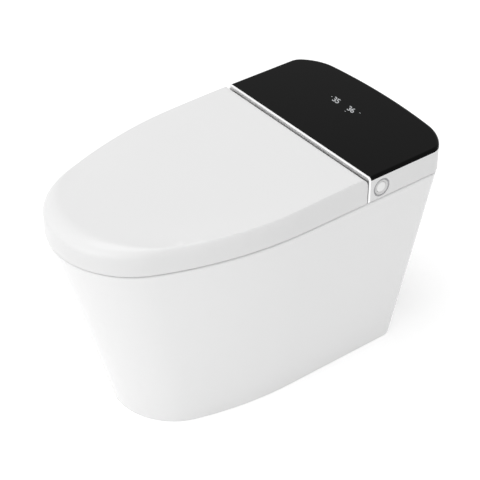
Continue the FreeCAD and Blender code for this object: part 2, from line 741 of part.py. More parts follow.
def skirt_form(inset):
    """Tapering skirt from the foot on the floor to the rim."""
    foot = FOOT_PLAN.inset(inset).full_wire(0)
    rim = COVER_PLAN.inset(RIM_SETBACK + inset).full_wire(RIM_HEIGHT)
    return Part.makeLoft([foot, rim], True, True)


def bowl_form(wall):
    """The bowl with its wash ledge, grown outwards by the wall."""
    low_x = BOWL_HALF_X - BOWL_MOUTH_TAPER
    low_y = BOWL_HALF_Y - BOWL_MOUTH_TAPER
    mouth = Part.makeLoft([
        ellipse(Vector(0, BOWL_CENTRE_Y, LEDGE_HEIGHT - wall), low_x + wall, low_y + wall),
        ellipse(Vector(0, BOWL_CENTRE_Y, RIM_HEIGHT), BOWL_HALF_X + wall, BOWL_HALF_Y + wall),
    ], True, True)
    ledge_x, ledge_y = low_x - LEDGE_DEPTH, low_y - LEDGE_DEPTH
    sections = []
    for depth, shrink in ((0.0, 0.0), (0.33, 0.2), (0.66, 0.55), (0.88, 0.84), (1.0, 1.0)):
        z = LEDGE_HEIGHT + depth * (SUMP_FLOOR - wall - LEDGE_HEIGHT)
        centre = BOWL_CENTRE_Y + shrink * (SUMP_CENTRE_Y - BOWL_CENTRE_Y)
        half_x = ledge_x + shrink * (SUMP_HALF_X - ledge_x) + wall
        half_y = ledge_y + shrink * (SUMP_HALF_Y - ledge_y) + wall
        sections.append(ellipse(Vector(0, centre, z), half_x, half_y))
    return mouth.fuse(Part.makeLoft(sections, True, False))


def well_form(wall):
    """Open well behind the bowl for the tank and pump."""
    sides = (-WELL_HALF_X - wall, WELL_HALF_X + wall)
    length = (WELL_FRONT_Y - wall, WELL_BACK_Y + wall)
    return rounded_box(sides, length, (WELL_FLOOR - wall, RIM_HEIGHT), WELL_CORNER_RADIUS + wall)


def trap_points():
    return [Vector(0, y, z) for y, z in (
        (SUMP_CENTRE_Y, TRAP_INLET_Z), (TRAP_RISE_Y, TRAP_INLET_Z),
        (TRAP_CREST_FRONT_Y, TRAP_CREST_Z), (TRAP_CREST_BACK_Y, TRAP_CREST_Z),
        (TRAP_CREST_BACK_Y, TRAP_FALL_Z), (DRAIN_Y, DRAIN_TURN_Z), (DRAIN_Y, DRAIN_CLEARANCE))]


def ceramic_openings():
    """Everything empty in the ceramic: bowl, trapway, well, nozzle bay and passages."""
    bore = rod(trap_points(), TRAP_BEND_RADIUS, TRAP_BORE_RADIUS)
    well_mouth = rounded_box((-WELL_HALF_X, WELL_HALF_X), (WELL_FRONT_Y, WELL_BACK_Y),
                             (RIM_HEIGHT - CUT_MARGIN, RIM_HEIGHT + CUT_MARGIN), WELL_CORNER_RADIUS)
    bay = box((BAY_LEFT_X, BAY_RIGHT_X), (BOWL_CENTRE_Y, WELL_FRONT_Y + CUT_MARGIN), (BAY_FLOOR, FAR))
    rim_port = cylinder(HOSE_RADIUS + SEATING_GAP, Vector(RIM_PORT_X, BOWL_CENTRE_Y, RIM_PORT_Z),
                        Y_AXIS, WELL_FRONT_Y - BOWL_CENTRE_Y + CUT_MARGIN)
    return [bowl_form(0), bore, well_form(0).fuse(well_mouth), bay, rim_port]


def bowl_outside():
    """Outer form of the bowl and the trapway below the deck."""
    below_deck = box((-FAR, FAR), (-FAR, FAR), (-CUT_MARGIN, DECK_LOW))
    return fuse([bowl_form(BOWL_WALL), rod(trap_points(), TRAP_BEND_RADIUS, DRAIN_RADIUS)]).common(below_deck)


def ceramic_body():
    """Skirt, deck, well and nozzle bay, up to the outside of the bowl below the deck."""
    skirt = skirt_form(0)
    top_edges = [e for e in skirt.Edges if e.BoundBox.ZMin > RIM_HEIGHT - 0.01]
    skirt = skirt.makeFillet(RIM_EDGE_RADIUS, top_edges)
    hollow = skirt_form(SKIRT_WALL).common(box((-FAR, FAR), (-FAR, FAR), (-CUT_MARGIN, DECK_LOW)))
    bay_outer = box((BAY_LEFT_X - BAY_WALL, BAY_RIGHT_X + BAY_WALL),
                    (BOWL_BACK_Y - BAY_WALL, WELL_FRONT_Y), (BAY_FLOOR - BAY_WALL, RIM_HEIGHT))
    port_wall = cylinder(HOSE_RADIUS + PORT_WALL, Vector(RIM_PORT_X, BOWL_CENTRE_Y, RIM_PORT_Z),
                         Y_AXIS, WELL_FRONT_Y - BOWL_CENTRE_Y)
    body = fuse([skirt.cut(hollow), well_form(WELL_WALL), bay_outer, port_wall])
    half = HALF_WIDTH - BACK_OPENING_SIDE_SETBACK
    back_opening = rounded_box((-half, half), (WELL_BACK_Y - SKIRT_WALL, BACK_Y + CUT_MARGIN),
                               (BACK_OPENING_LOW, BACK_OPENING_HIGH), BACK_OPENING_CORNER, Y_AXIS)
    supply_hole = cylinder(HOSE_RADIUS + CUT_MARGIN,
                           Vector(VALVE_X, VALVE_Y, WELL_FLOOR - WELL_WALL - CUT_MARGIN),
                           Z_AXIS, WELL_WALL + 2 * CUT_MARGIN)
    bolt_holes = [cylinder(BOLT_RADIUS + SEATING_GAP, Vector(side * CHASSIS_BOLT_X, y, DECK_LOW - CUT_MARGIN),
                           Z_AXIS, DECK_THICKNESS + 2 * CUT_MARGIN)
                  for side in (-1, 1) for y in CHASSIS_BOLT_Y]
    return cut(body, ceramic_openings() + [bowl_outside(), back_opening, supply_hole] + bolt_holes)


def ceramic_bowl():
    """Bowl with its siphon trapway and drain spigot, hung from the deck."""
    return cut(bowl_outside(), ceramic_openings())


# Lid

def lid_plan(angle, inset):
    """Plan of the lid at an angle up its rounded edge: 0 at the shoulder, 90 degrees on top."""
    side = (LID_SIDE_ROUNDING - inset) * (1 - math.cos(angle))
    nose = (LID_NOSE_ROUNDING - inset) * (1 - math.cos(angle))
    return COVER_PLAN.inset(inset).narrowed(side, nose)


def lid_height(angle, inset):
    return LID_SHOULDER + (LID_SHOULDER_DROP - inset) * math.sin(angle)


def lid_side_view(inset):
    """Side outline of the lid, whose rear top edge is an arc about the hinge line."""
    radius = BEAD_RADIUS - inset
    back = HINGE_Y + radius
    low = COVER_LOW - inset
    diagonal = radius * math.sqrt(0.5)
    top = HINGE_Z + radius

    def place(y, z):
        return Vector(-FAR, y, z)
    return chain([
        Part.LineSegment(place(-FAR, low), place(back, low)),
        Part.LineSegment(place(back, low), place(back, HINGE_Z)),
        Part.Arc(place(back, HINGE_Z), place(HINGE_Y + diagonal, HINGE_Z + diagonal), place(HINGE_Y, top)),
        Part.LineSegment(place(HINGE_Y, top), place(-FAR, top)),
        Part.LineSegment(place(-FAR, top), place(-FAR, low)),
    ])


def lid_form(inset):
    """Outer form of the lid moved inwards by the inset."""
    back = HINGE_Y + BEAD_RADIUS
    skirt = prism(COVER_PLAN.inset(inset).front_wire(COVER_LOW - inset, back),
                  Vector(0, 0, LID_SHOULDER - COVER_LOW + inset))
    angles = [math.radians(degrees) for degrees in (0, 30, 60, 90)]
    crown = Part.makeLoft([lid_plan(a, inset).front_wire(lid_height(a, inset), back) for a in angles],
                          True, False)
    return fuse([skirt, crown]).common(prism(lid_side_view(inset), Vector(2 * FAR, 0, 0)))


def knuckle(start_x, width, front_y, low_z, high_z):
    """Disc round the hinge line with a web that runs forward from it."""
    disc = cylinder(KNUCKLE_RADIUS, Vector(start_x, HINGE_Y, HINGE_Z), X_AXIS, width)
    web = box((start_x, start_x + width), (front_y, HINGE_Y), (low_z, high_z))
    return disc.fuse(web)


def lid_shell():
    """Lid moulding with open underside, rear window below the bead and two hinge ears."""
    shell = lid_form(0).cut(lid_form(LID_WALL))
    inner_x = HALF_WIDTH - LID_WALL
    bead_end = HINGE_Z + BEAD_RADIUS * math.sin(LID_BEAD_LIP)
    window = box((-inner_x, inner_x), (HINGE_Y, HINGE_Y + 2 * BEAD_RADIUS), (0, bead_end))
    shell = shell.cut(window)
    ear = knuckle(LID_EAR_START, LID_EAR_WIDTH, HINGE_Y - LINER_BACK_SETBACK + LINER_OVERLAP, HINGE_Z,
                  OVERALL_HEIGHT - LID_WALL)
    filler = box((LID_EAR_START, LID_EAR_END), (HINGE_Y - BEAD_RADIUS, HINGE_Y + BEAD_RADIUS),
                 (bead_end, OVERALL_HEIGHT)).common(lid_form(0))
    shell = fuse([shell] + both_sides(fuse([ear, filler])))
    length = LID_EAR_WIDTH + 2 * CUT_MARGIN
    left_bore = cylinder(SHAFT_RADIUS, Vector(-LID_EAR_END - CUT_MARGIN, HINGE_Y, HINGE_Z), X_AXIS, length)
    right_bore = cylinder(BORE_RADIUS, Vector(LID_EAR_START - CUT_MARGIN, HINGE_Y, HINGE_Z), X_AXIS, length)
    return cut(shell, [left_bore, right_bore])


def lid_liner():
    """Inner panel that closes the hollow of the lid."""
    inset = LID_WALL + SEATING_GAP
    back = HINGE_Y - LINER_BACK_SETBACK
    wires = []
    for z in (LINER_LOW, LINER_LOW + LINER_THICKNESS):
        angle = math.asin((z - LID_SHOULDER) / (LID_SHOULDER_DROP - inset))
        wires.append(lid_plan(angle, inset).front_wire(z, back))
    return Part.makeLoft(wires, True, True)


def bumper_pads(side_place, nose_place, radius, low, high):
    """Two pairs of round pads: a setback from the side and a station, then a place behind the nose."""
    places = [(HALF_WIDTH - side_place[0], side_place[1]), (nose_place[0], NOSE_Y + nose_place[1])]
    pads = []
    for x, y in places:
        pads += both_sides(cylinder(radius, Vector(x, y, low), Z_AXIS, high - low))
    return group(pads)


def lid_bumpers():
    return bumper_pads(LID_BUMPER_SIDE, LID_BUMPER_NOSE, BUMPER_LID_RADIUS, SEAT_TOP + SEATING_GAP, LINER_LOW)


def hinge_shaft(side):
    """Shaft from the drive socket out through the bridge and both ears."""
    start = DRIVE_START - SHAFT_SOCKET
    shaft = cylinder(SHAFT_RADIUS, Vector(start, HINGE_Y, HINGE_Z), X_AXIS, LID_EAR_END - start)
    return shaft if side > 0 else mirror_x(shaft)


# Seat

def ring_plate(inset, low, high):
    """Ring that follows the seat plan and its hole at an inset from both."""
    plan = COVER_PLAN.inset(SEAT_SETBACK + inset)
    wire = plan.front_wire(low, SEAT_BACK_Y - inset, SEAT_CORNER_RADIUS - inset)
    half_y = (SEAT_HOLE_BACK_Y - SEAT_HOLE_FRONT_Y) / 2
    centre = Vector(0, SEAT_HOLE_FRONT_Y + half_y, low)
    hole = oval(centre, SEAT_HOLE_HALF_X + inset, half_y + inset, SEAT_HOLE_END_RADIUS + inset)
    height = Vector(0, 0, high - low)
    return prism(wire, height).cut(prism(hole, height))


def seat_form(inset):
    """Ring of the seat with rounded top edges, moved inwards by the inset."""
    high = SEAT_TOP - inset
    ring = ring_plate(inset, SEAT_LOW, high)
    top_edges = [e for e in ring.Edges if e.BoundBox.ZMin > high - 0.01]
    return ring.makeFillet(SEAT_EDGE_RADIUS - inset, top_edges)


def seat_arm():
    """Arm from the back of the seat up to the hinge line."""
    start_y = SEAT_BACK_Y - SEAT_WALL / 2
    across = KNUCKLE_RADIUS * math.sin(SEAT_ARM_ANGLE)
    along = KNUCKLE_RADIUS * math.cos(SEAT_ARM_ANGLE)
    outline = polygon_yz([
        (start_y, SEAT_LOW + SEAT_BASE_THICKNESS), (start_y, SEAT_TOP - SEAT_EDGE_RADIUS),
        (HINGE_Y - across, HINGE_Z + along), (HINGE_Y + across, HINGE_Z - along)], SEAT_EAR_START)
    web = prism(outline, Vector(SEAT_EAR_WIDTH, 0, 0))
    disc = cylinder(KNUCKLE_RADIUS, Vector(SEAT_EAR_START, HINGE_Y, HINGE_Z), X_AXIS, SEAT_EAR_WIDTH)
    return web.fuse(disc)


def seat_top():
    """Seat moulding: rounded ring, open underneath, with two hinge arms."""
    shell = fuse([seat_form(0).cut(seat_form(SEAT_WALL))] + both_sides(seat_arm()))
    length = 2 * EAR_GAP + SEAT_EAR_WIDTH
    left_bore = cylinder(BORE_RADIUS, Vector(-LID_EAR_START, HINGE_Y, HINGE_Z), X_AXIS, length)
    right_bore = cylinder(SHAFT_RADIUS, Vector(BRIDGE_HALF_X, HINGE_Y, HINGE_Z), X_AXIS, length)
    return cut(shell, [left_bore, right_bore])


def seat_base():
    return ring_plate(SEAT_WALL + SEATING_GAP, SEAT_LOW, SEAT_LOW + SEAT_BASE_THICKNESS)


def seat_heater():
    """Heating foil bonded under the top of the seat."""
    return ring_plate(HEATER_MARGIN, SEAT_TOP - SEAT_WALL - HEATER_THICKNESS, SEAT_TOP - SEAT_WALL)


def seat_bumpers():
    return bumper_pads(SEAT_BUMPER_SIDE, SEAT_BUMPER_NOSE, BUMPER_SEAT_RADIUS,
                       RIM_HEIGHT + SEATING_GAP, SEAT_LOW)


# Rear housing and what covers it

def cradle_top(y):
    """Height of the top of the tilted cradle above a station y."""
    tilt = math.radians(NOZZLE_TILT)
    along = y - NOZZLE_TIP_Y + CRADLE_TOP * math.sin(tilt)
    return NOZZLE_TIP_Z + CRADLE_TOP * math.cos(tilt) + along * math.tan(tilt)


def nozzle_tunnel(y_range):
    """Passage for the cradle through a wall that stands across it."""
    half = CRADLE_HALF_WIDTH + PASSAGE_CLEARANCE
    high = cradle_top(y_range[1]) + PASSAGE_CLEARANCE
    return box((-half, half), (y_range[0] - CUT_MARGIN, y_range[1] + CUT_MARGIN), (RIM_HEIGHT, high))


def duct_tunnel(y_range):
    """Passage for the dryer duct through a wall that stands across it."""
    part = (y_range[1] - DUCT_KNEE_Y) / (FAN_OUTLET_Y - DUCT_KNEE_Y)
    knee_high = DUCT_KNEE_LOW + DUCT_HEIGHT
    high = knee_high + part * (CHASSIS_TOP + FAN_HEIGHT - knee_high) + PASSAGE_CLEARANCE
    right = max(DUCT_RIGHT_X, FAN_X) + PASSAGE_CLEARANCE
    return box((DUCT_LEFT_X - PASSAGE_CLEARANCE, right),
               (y_range[0] - CUT_MARGIN, y_range[1] + CUT_MARGIN), (RIM_HEIGHT, high))


def housing_form(inset, low, high):
    wire = COVER_PLAN.inset(inset).rear_wire(low, HOUSING_FRONT + inset)
    return prism(wire, Vector(0, 0, high - low))


def panel_form(inset):
    """Glass panel whose edges roll over the sides and back."""
    radius = PANEL_EDGE_RADIUS - inset
    sections = []
    for degrees in (0, 45, 90):
        angle = math.radians(degrees)
        plan = COVER_PLAN.inset(inset + radius * (1 - math.cos(angle)))
        sections.append(plan.rear_wire(PANEL_LOW + radius * math.sin(angle), HOUSING_FRONT + inset))
    return Part.makeLoft(sections, True, False)


def top_panel():
    return panel_form(0).cut(panel_form(PANEL_THICKNESS))


def boss_places():
    front = (HALF_WIDTH - FRONT_BOSS_SIDE_SETBACK, TRIM_FRONT_Y + FRONT_BOSS_BEHIND_STRIP)
    rear = (HALF_WIDTH - REAR_BOSS_SIDE_SETBACK, BACK_Y - REAR_BOSS_BACK_SETBACK)
    return [(side * x, y) for side in (-1, 1) for x, y in (front, rear)]


def rear_housing():
    """White band with its deck, screw bosses and the hole for the side knob."""
    shell = housing_form(0, COVER_LOW, PANEL_LOW).cut(
        housing_form(HOUSING_WALL, COVER_LOW - CUT_MARGIN, HOUSING_DECK))
    boss_length = HOUSING_DECK - CHASSIS_TOP + CUT_MARGIN
    bosses = [cylinder(BOSS_RADIUS, Vector(x, y, CHASSIS_TOP), Z_AXIS, boss_length) for x, y in boss_places()]
    shell = fuse([shell] + bosses)
    pilot_holes = [cylinder(SCREW_RADIUS, Vector(x, y, CHASSIS_TOP - CUT_MARGIN), Z_AXIS,
                            CUT_MARGIN + SCREW_LENGTH) for x, y in boss_places()]
    knob_hole = cylinder(KNOB_BEZEL_RADIUS, Vector(HALF_WIDTH - HOUSING_WALL - CUT_MARGIN, KNOB_Y, KNOB_Z),
                         X_AXIS, HOUSING_WALL + 2 * CUT_MARGIN)
    front_wall = (HOUSING_FRONT, HOUSING_FRONT + HOUSING_WALL)
    return cut(shell, pilot_holes + [knob_hole, nozzle_tunnel(front_wall), duct_tunnel(front_wall)])


def housing_screws():
    """Screws up through the chassis into the bosses of the housing."""
    screws = []
    for x, y in boss_places():
        head = cylinder(SCREW_HEAD_RADIUS, Vector(x, y, RIM_HEIGHT), Z_AXIS, SCREW_HEAD_HEIGHT)
        shank = cylinder(SCREW_RADIUS, Vector(x, y, RIM_HEIGHT), Z_AXIS, CHASSIS_THICKNESS + SCREW_LENGTH)
        screws.append(head.fuse(shank))
    return group(screws)


def trim_strip():
    """Aluminium frame across the top of the housing's front and down both of its sides."""
    half, radius = HALF_WIDTH, PANEL_EDGE_RADIUS
    diagonal = radius * (1 - math.sqrt(0.5))

    def place(x, z):
        return Vector(x, TRIM_FRONT_Y, z)
    low, high = COVER_LOW, OVERALL_HEIGHT
    outline = chain([
        Part.LineSegment(place(-half, low), place(half, low)),
        Part.LineSegment(place(half, low), place(half, high - radius)),
        Part.Arc(place(half, high - radius), place(half - diagonal, high - diagonal),
                 place(half - radius, high)),
        Part.LineSegment(place(half - radius, high), place(radius - half, high)),
        Part.Arc(place(radius - half, high), place(diagonal - half, high - diagonal),
                 place(-half, high - radius)),
        Part.LineSegment(place(-half, high - radius), place(-half, low)),
    ])
    plate = prism(outline, Vector(0, TRIM_THICKNESS, 0))
    front_edges = [e for e in plate.Edges
                   if e.BoundBox.YMax < TRIM_FRONT_Y + 0.01 and e.BoundBox.ZMax > COVER_LOW + 1]
    inner_half = HALF_WIDTH - TRIM_WIDTH
    inside = box((-inner_half, inner_half), (TRIM_FRONT_Y - CUT_MARGIN, HOUSING_FRONT + CUT_MARGIN),
                 (COVER_LOW - CUT_MARGIN, OVERALL_HEIGHT - TRIM_WIDTH))
    return plate.makeFillet(TRIM_EDGE_RADIUS, front_edges).cut(inside)


def behind_strip(stations):
    """Two stations that are given as distances behind the front of the strip."""
    return (TRIM_FRONT_Y + stations[0], TRIM_FRONT_Y + stations[1])


def shrunk(span, margin):
    return (span[0] + margin, span[1] - margin)


def display_board():
    """Board under the glass with its four digits."""
    length = behind_strip(DISPLAY_BEHIND_STRIP)
    high = PANEL_LOW + PANEL_BOARD_THICKNESS
    board = box(DISPLAY_X, length, (PANEL_LOW, high))
    digits = [box((DISPLAY_X[0] + place, DISPLAY_X[0] + place + DIGIT_WIDTH), shrunk(length, DIGIT_MARGIN),
                  (PANEL_LOW, high + PANEL_BOARD_PART_HEIGHT)) for place in DIGIT_PLACES]
    return fuse([board] + digits)


def approach_sensor():
    """Sensor can on its own small board under the glass."""
    width = (SENSOR_SIDE_SETBACK - HALF_WIDTH, SENSOR_SIDE_SETBACK - HALF_WIDTH + SENSOR_WIDTH)
    length = behind_strip(SENSOR_BEHIND_STRIP)
    high = PANEL_LOW + PANEL_BOARD_THICKNESS
    board = box(width, length, (PANEL_LOW, high))
    can = box(shrunk(width, SENSOR_CAN_MARGIN[0]), shrunk(length, SENSOR_CAN_MARGIN[1]),
              (PANEL_LOW, high + PANEL_BOARD_PART_HEIGHT))
    return fuse([board, can])


# Chassis and hinge bridge

def chassis_plate():
    """Plate on the ceramic that carries the seat unit, with slots for nozzle and duct."""
    plan = COVER_PLAN.inset(CHASSIS_SETBACK)
    plate = prism(plan.rear_wire(RIM_HEIGHT, CHASSIS_FRONT_Y), Vector(0, 0, CHASSIS_THICKNESS))
    depth = (RIM_HEIGHT - CUT_MARGIN, CHASSIS_TOP + CUT_MARGIN)
    through = depth[1] - depth[0]
    half = CRADLE_HALF_WIDTH + CHASSIS_SLOT_MARGIN
    slot_end = TRIM_FRONT_Y + CRADLE_FLANGE_BEHIND_STRIP[1] + CHASSIS_SLOT_MARGIN
    nozzle_slot = box((-half, half), (CHASSIS_FRONT_Y - CUT_MARGIN, slot_end), depth)
    duct_slot = box((DUCT_LEFT_X - DUCT_SLOT_MARGIN, max(DUCT_RIGHT_X, FAN_X) + DUCT_SLOT_MARGIN),
                    (DUCT_KNEE_Y - DUCT_SLOT_MARGIN, FAN_OUTLET_Y + CUT_MARGIN), depth)
    motor_hole = cylinder(FAN_MOTOR_RADIUS + SEATING_GAP, Vector(FAN_X, FAN_Y, depth[0]), Z_AXIS, through)
    bolt_holes = [cylinder(BOLT_RADIUS + SEATING_GAP, Vector(side * CHASSIS_BOLT_X, y, depth[0]),
                           Z_AXIS, through) for side in (-1, 1) for y in CHASSIS_BOLT_Y]
    screw_holes = []
    for x, y in boss_places():
        screw_holes.append(cylinder(SCREW_RADIUS, Vector(x, y, depth[0]), Z_AXIS, through))
        screw_holes.append(cylinder(SCREW_HEAD_RADIUS, Vector(x, y, depth[0]), Z_AXIS,
                                    CUT_MARGIN + SCREW_HEAD_HEIGHT))
    return cut(plate, [nozzle_slot, duct_slot, motor_hole] + bolt_holes + screw_holes)


def chassis_bolts():
    """Bolts with chamfered heads on the chassis and nuts under the ceramic deck."""
    nut_low = DECK_LOW - BOLT_NUT_HEIGHT
    start = nut_low - BOLT_TAIL
    bolts = []
    for side in (-1, 1):
        for y in CHASSIS_BOLT_Y:
            x = side * CHASSIS_BOLT_X
            shank = cylinder(BOLT_RADIUS, Vector(x, y, start), Z_AXIS, CHASSIS_TOP - start)
            nut = cylinder(BOLT_HEAD_RADIUS, Vector(x, y, nut_low), Z_AXIS, BOLT_NUT_HEIGHT)
            head = cylinder(BOLT_HEAD_RADIUS, Vector(x, y, CHASSIS_TOP), Z_AXIS, BOLT_HEAD_HEIGHT)
            top = [e for e in head.Edges if e.BoundBox.ZMin > CHASSIS_TOP + BOLT_HEAD_HEIGHT - 0.01]
            bolts.append(fuse([shank, nut, head.makeChamfer(BOLT_HEAD_CHAMFER, top)]))
    return group(bolts)


def hinge_bridge():
    """Barrel along the hinge line on a web, bored for the two drives and shafts."""
    barrel = cylinder(KNUCKLE_RADIUS, Vector(-BRIDGE_HALF_X, HINGE_Y, HINGE_Z), X_AXIS, 2 * BRIDGE_HALF_X)
    front = HINGE_Y - BRIDGE_WEB_DEPTH
    outline = polygon_yz([
        (front, CHASSIS_TOP), (HINGE_Y, CHASSIS_TOP), (HINGE_Y, HINGE_Z),
        (HINGE_Y - KNUCKLE_RADIUS * math.cos(BRIDGE_WEB_ANGLE),
         HINGE_Z + KNUCKLE_RADIUS * math.sin(BRIDGE_WEB_ANGLE))], -BRIDGE_HALF_X)
    web = prism(outline, Vector(2 * BRIDGE_HALF_X, 0, 0))
    cuts = [nozzle_tunnel((front, HINGE_Y))]
    for side in (-1, 1):
        pocket_start = DRIVE_START - DRIVE_LENGTH - SEATING_GAP
        cuts.append(cylinder(DRIVE_RADIUS + RUNNING_CLEARANCE, Vector(side * pocket_start, HINGE_Y, HINGE_Z),
                             X_AXIS * side, DRIVE_LENGTH + SEATING_GAP))
        cuts.append(cylinder(BORE_RADIUS, Vector(side * (DRIVE_START - CUT_MARGIN), HINGE_Y, HINGE_Z),
                             X_AXIS * side, BRIDGE_HALF_X - DRIVE_START + 2 * CUT_MARGIN))
    return cut(fuse([barrel, web]), cuts)


def hinge_drive(side):
    """Geared motor cartridge with a socket for its shaft."""
    gearbox = cylinder(DRIVE_RADIUS, Vector(DRIVE_START - DRIVE_LENGTH, HINGE_Y, HINGE_Z), X_AXIS,
                       DRIVE_LENGTH)
    waist = tube(DRIVE_RADIUS + CUT_MARGIN, DRIVE_RADIUS - DRIVE_WAIST_DEPTH,
                 Vector(DRIVE_START - DRIVE_LENGTH * DRIVE_WAIST_PLACE, HINGE_Y, HINGE_Z), X_AXIS,
                 DRIVE_WAIST_WIDTH)
    socket = cylinder(BORE_RADIUS, Vector(DRIVE_START - SHAFT_SOCKET - SEATING_GAP, HINGE_Y, HINGE_Z),
                      X_AXIS, SHAFT_SOCKET + SEATING_GAP + CUT_MARGIN)
    drive = cut(gearbox, [waist, socket])
    return drive if side > 0 else mirror_x(drive)


# Side knob

def knob_face(depth):
    return Vector(HALF_WIDTH - depth, KNOB_Y, KNOB_Z)


def knob_bezel():
    """Bright ring set into the side of the housing."""
    inner = KNOB_RING_RADIUS + KNOB_GAP
    ring = tube(KNOB_BEZEL_RADIUS, inner, knob_face(HOUSING_WALL), X_AXIS, HOUSING_WALL)
    flange = tube(KNOB_BEZEL_RADIUS + KNOB_BEZEL_FLANGE, inner, knob_face(HOUSING_WALL + KNOB_BEZEL_FLANGE),
                  X_AXIS, KNOB_BEZEL_FLANGE)
    return fuse([ring, flange])


def knob_ring():
    """Turning ring with a hub that runs in the encoder."""
    rim = tube(KNOB_RING_RADIUS, KNOB_BUTTON_RADIUS + KNOB_GAP, knob_face(KNOB_DEPTH), X_AXIS, KNOB_DEPTH)
    web_depth = KNOB_DEPTH + KNOB_WEB
    web = cylinder(KNOB_RING_RADIUS, knob_face(web_depth), X_AXIS, KNOB_WEB)
    hub = cylinder(KNOB_HUB_RADIUS, knob_face(web_depth + ENCODER_LENGTH - KNOB_WEB), X_AXIS, ENCODER_LENGTH)
    bore = cylinder(KNOB_STEM_RADIUS + RUNNING_CLEARANCE, knob_face(HALF_WIDTH), X_AXIS, HALF_WIDTH)
    return cut(fuse([rim, web, hub]), [bore])


def knob_button():
    """Centre button with the stem that it presses in along."""
    height = KNOB_DEPTH - KNOB_PRESS - KNOB_GAP
    cap = cylinder(KNOB_BUTTON_RADIUS, knob_face(height), X_AXIS, height)
    stem = cylinder(KNOB_STEM_RADIUS, knob_face(KNOB_STEM_LENGTH), X_AXIS, KNOB_STEM_LENGTH - height / 2)
    return fuse([cap, stem])


def knob_encoder():
    """Encoder body behind the knob on a bracket that stands on the chassis."""
    start = KNOB_DEPTH + KNOB_WEB + ENCODER_GAP
    body = box((HALF_WIDTH - start - ENCODER_LENGTH, HALF_WIDTH - start),
               (KNOB_Y - ENCODER_HALF_WIDTH, KNOB_Y + ENCODER_HALF_WIDTH),
               (CHASSIS_TOP, KNOB_Z + ENCODER_HALF_WIDTH))
    bore = cylinder(KNOB_HUB_RADIUS + RUNNING_CLEARANCE, knob_face(start + ENCODER_LENGTH - CUT_MARGIN),
                    X_AXIS, ENCODER_LENGTH)
    return cut(body, [bore])


# Wash nozzle

def place_nozzle(shape):
    """Tilt a shape from the wand's own frame and put it in the toilet."""
    placed = shape.copy()
    placed.rotate(Vector(0, 0, 0), X_AXIS, NOZZLE_TILT)
    placed.translate(Vector(0, NOZZLE_TIP_Y, NOZZLE_TIP_Z))
    return placed


def rack_tooth(centre_y):
    """One straight-sided tooth under the wand."""
    half_pitch = (math.pi * GEAR_MODULE / 2 - GEAR_BACKLASH) / 2
    lean = math.tan(PRESSURE_ANGLE)
    root = half_pitch + GEAR_DEDENDUM * lean
    tip = half_pitch - GEAR_ADDENDUM * lean
    top, low = PITCH_LINE_Z + GEAR_DEDENDUM, PITCH_LINE_Z - GEAR_ADDENDUM
    outline = polygon_yz([(centre_y - root, top), (centre_y - tip, low),
                          (centre_y + tip, low), (centre_y + root, top)], -RACK_WIDTH / 2)
    return prism(outline, Vector(RACK_WIDTH, 0, 0))


def nozzle_wand():
    """Telescopic wand with the rack that drives it."""
    wand = cylinder(WAND_RADIUS, Vector(0, TIP_LENGTH, 0), Y_AXIS, WAND_LENGTH - TIP_LENGTH)
    rail = box((-RACK_WIDTH / 2, RACK_WIDTH / 2), (RACK_START, WAND_LENGTH - CUT_MARGIN),
               (PITCH_LINE_Z + GEAR_DEDENDUM - 0.01, 0))
    pitch = math.pi * GEAR_MODULE
    first = math.ceil((RACK_START + pitch / 2 - PINION_Y) / pitch - 0.5)
    last = math.floor((WAND_LENGTH - pitch - PINION_Y) / pitch - 0.5)
    teeth = [rack_tooth(PINION_Y + (index + 0.5) * pitch) for index in range(first, last + 1)]
    return place_nozzle(fuse([wand, rail] + teeth))


def nozzle_tip():
    """Rounded tip with its two spray holes."""
    body = cylinder(WAND_RADIUS, Vector(0, 0, 0), Y_AXIS, TIP_LENGTH)
    front = [e for e in body.Edges if e.BoundBox.YMax < 0.01]
    body = body.makeFillet(TIP_ROUNDING, front)
    holes = [cylinder(SPRAY_HOLE_RADIUS, Vector(0, y, 0), Z_AXIS, WAND_RADIUS + CUT_MARGIN)
             for y in SPRAY_HOLE_Y]
    return place_nozzle(cut(body, holes))


def involute_flank(side, tooth_angle):
    """Four points up one flank, from the root circle to the tip circle."""
    base = PINION_RADIUS * math.cos(PRESSURE_ANGLE)

    def roll(radius):
        if radius <= base:
            return 0.0
        pressure = math.acos(base / radius)
        return math.tan(pressure) - pressure
    half_tooth = (math.pi / 2 - GEAR_BACKLASH / GEAR_MODULE) / PINION_TEETH
    half_at_base = half_tooth + roll(PINION_RADIUS)
    points = []
    for radius in (PINION_RADIUS - GEAR_DEDENDUM, PINION_RADIUS - GEAR_DEDENDUM * 0.4,
                   PINION_RADIUS + GEAR_ADDENDUM * 0.3, PINION_RADIUS + GEAR_ADDENDUM):
        angle = tooth_angle + side * (half_at_base - roll(radius))
        points.append(Vector(0, radius * math.cos(angle), radius * math.sin(angle)))
    return points


def pinion_profile():
    """Closed outline of the pinion, a tooth gap facing straight up."""
    corners = []
    for index in range(PINION_TEETH):
        tooth_angle = math.pi / 2 + 2 * math.pi * index / PINION_TEETH
        corners += involute_flank(-1, tooth_angle)
        corners += reversed(involute_flank(1, tooth_angle))
    return Part.makePolygon(corners + corners[:1])


def nozzle_pinion():
    """Pinion under the rack, with the shaft into its motor."""
    gear = Part.Face(pinion_profile()).extrude(Vector(PINION_WIDTH, 0, 0))
    gear.translate(Vector(-PINION_WIDTH / 2, PINION_Y, PINION_Z))
    start = -CRADLE_HALF_WIDTH - CUT_MARGIN
    end = CRADLE_HALF_WIDTH + NOZZLE_MOTOR_LENGTH / 2
    shaft = cylinder(PINION_SHAFT_RADIUS, Vector(start, PINION_Y, PINION_Z), X_AXIS, end - start)
    return place_nozzle(fuse([gear, shaft]))


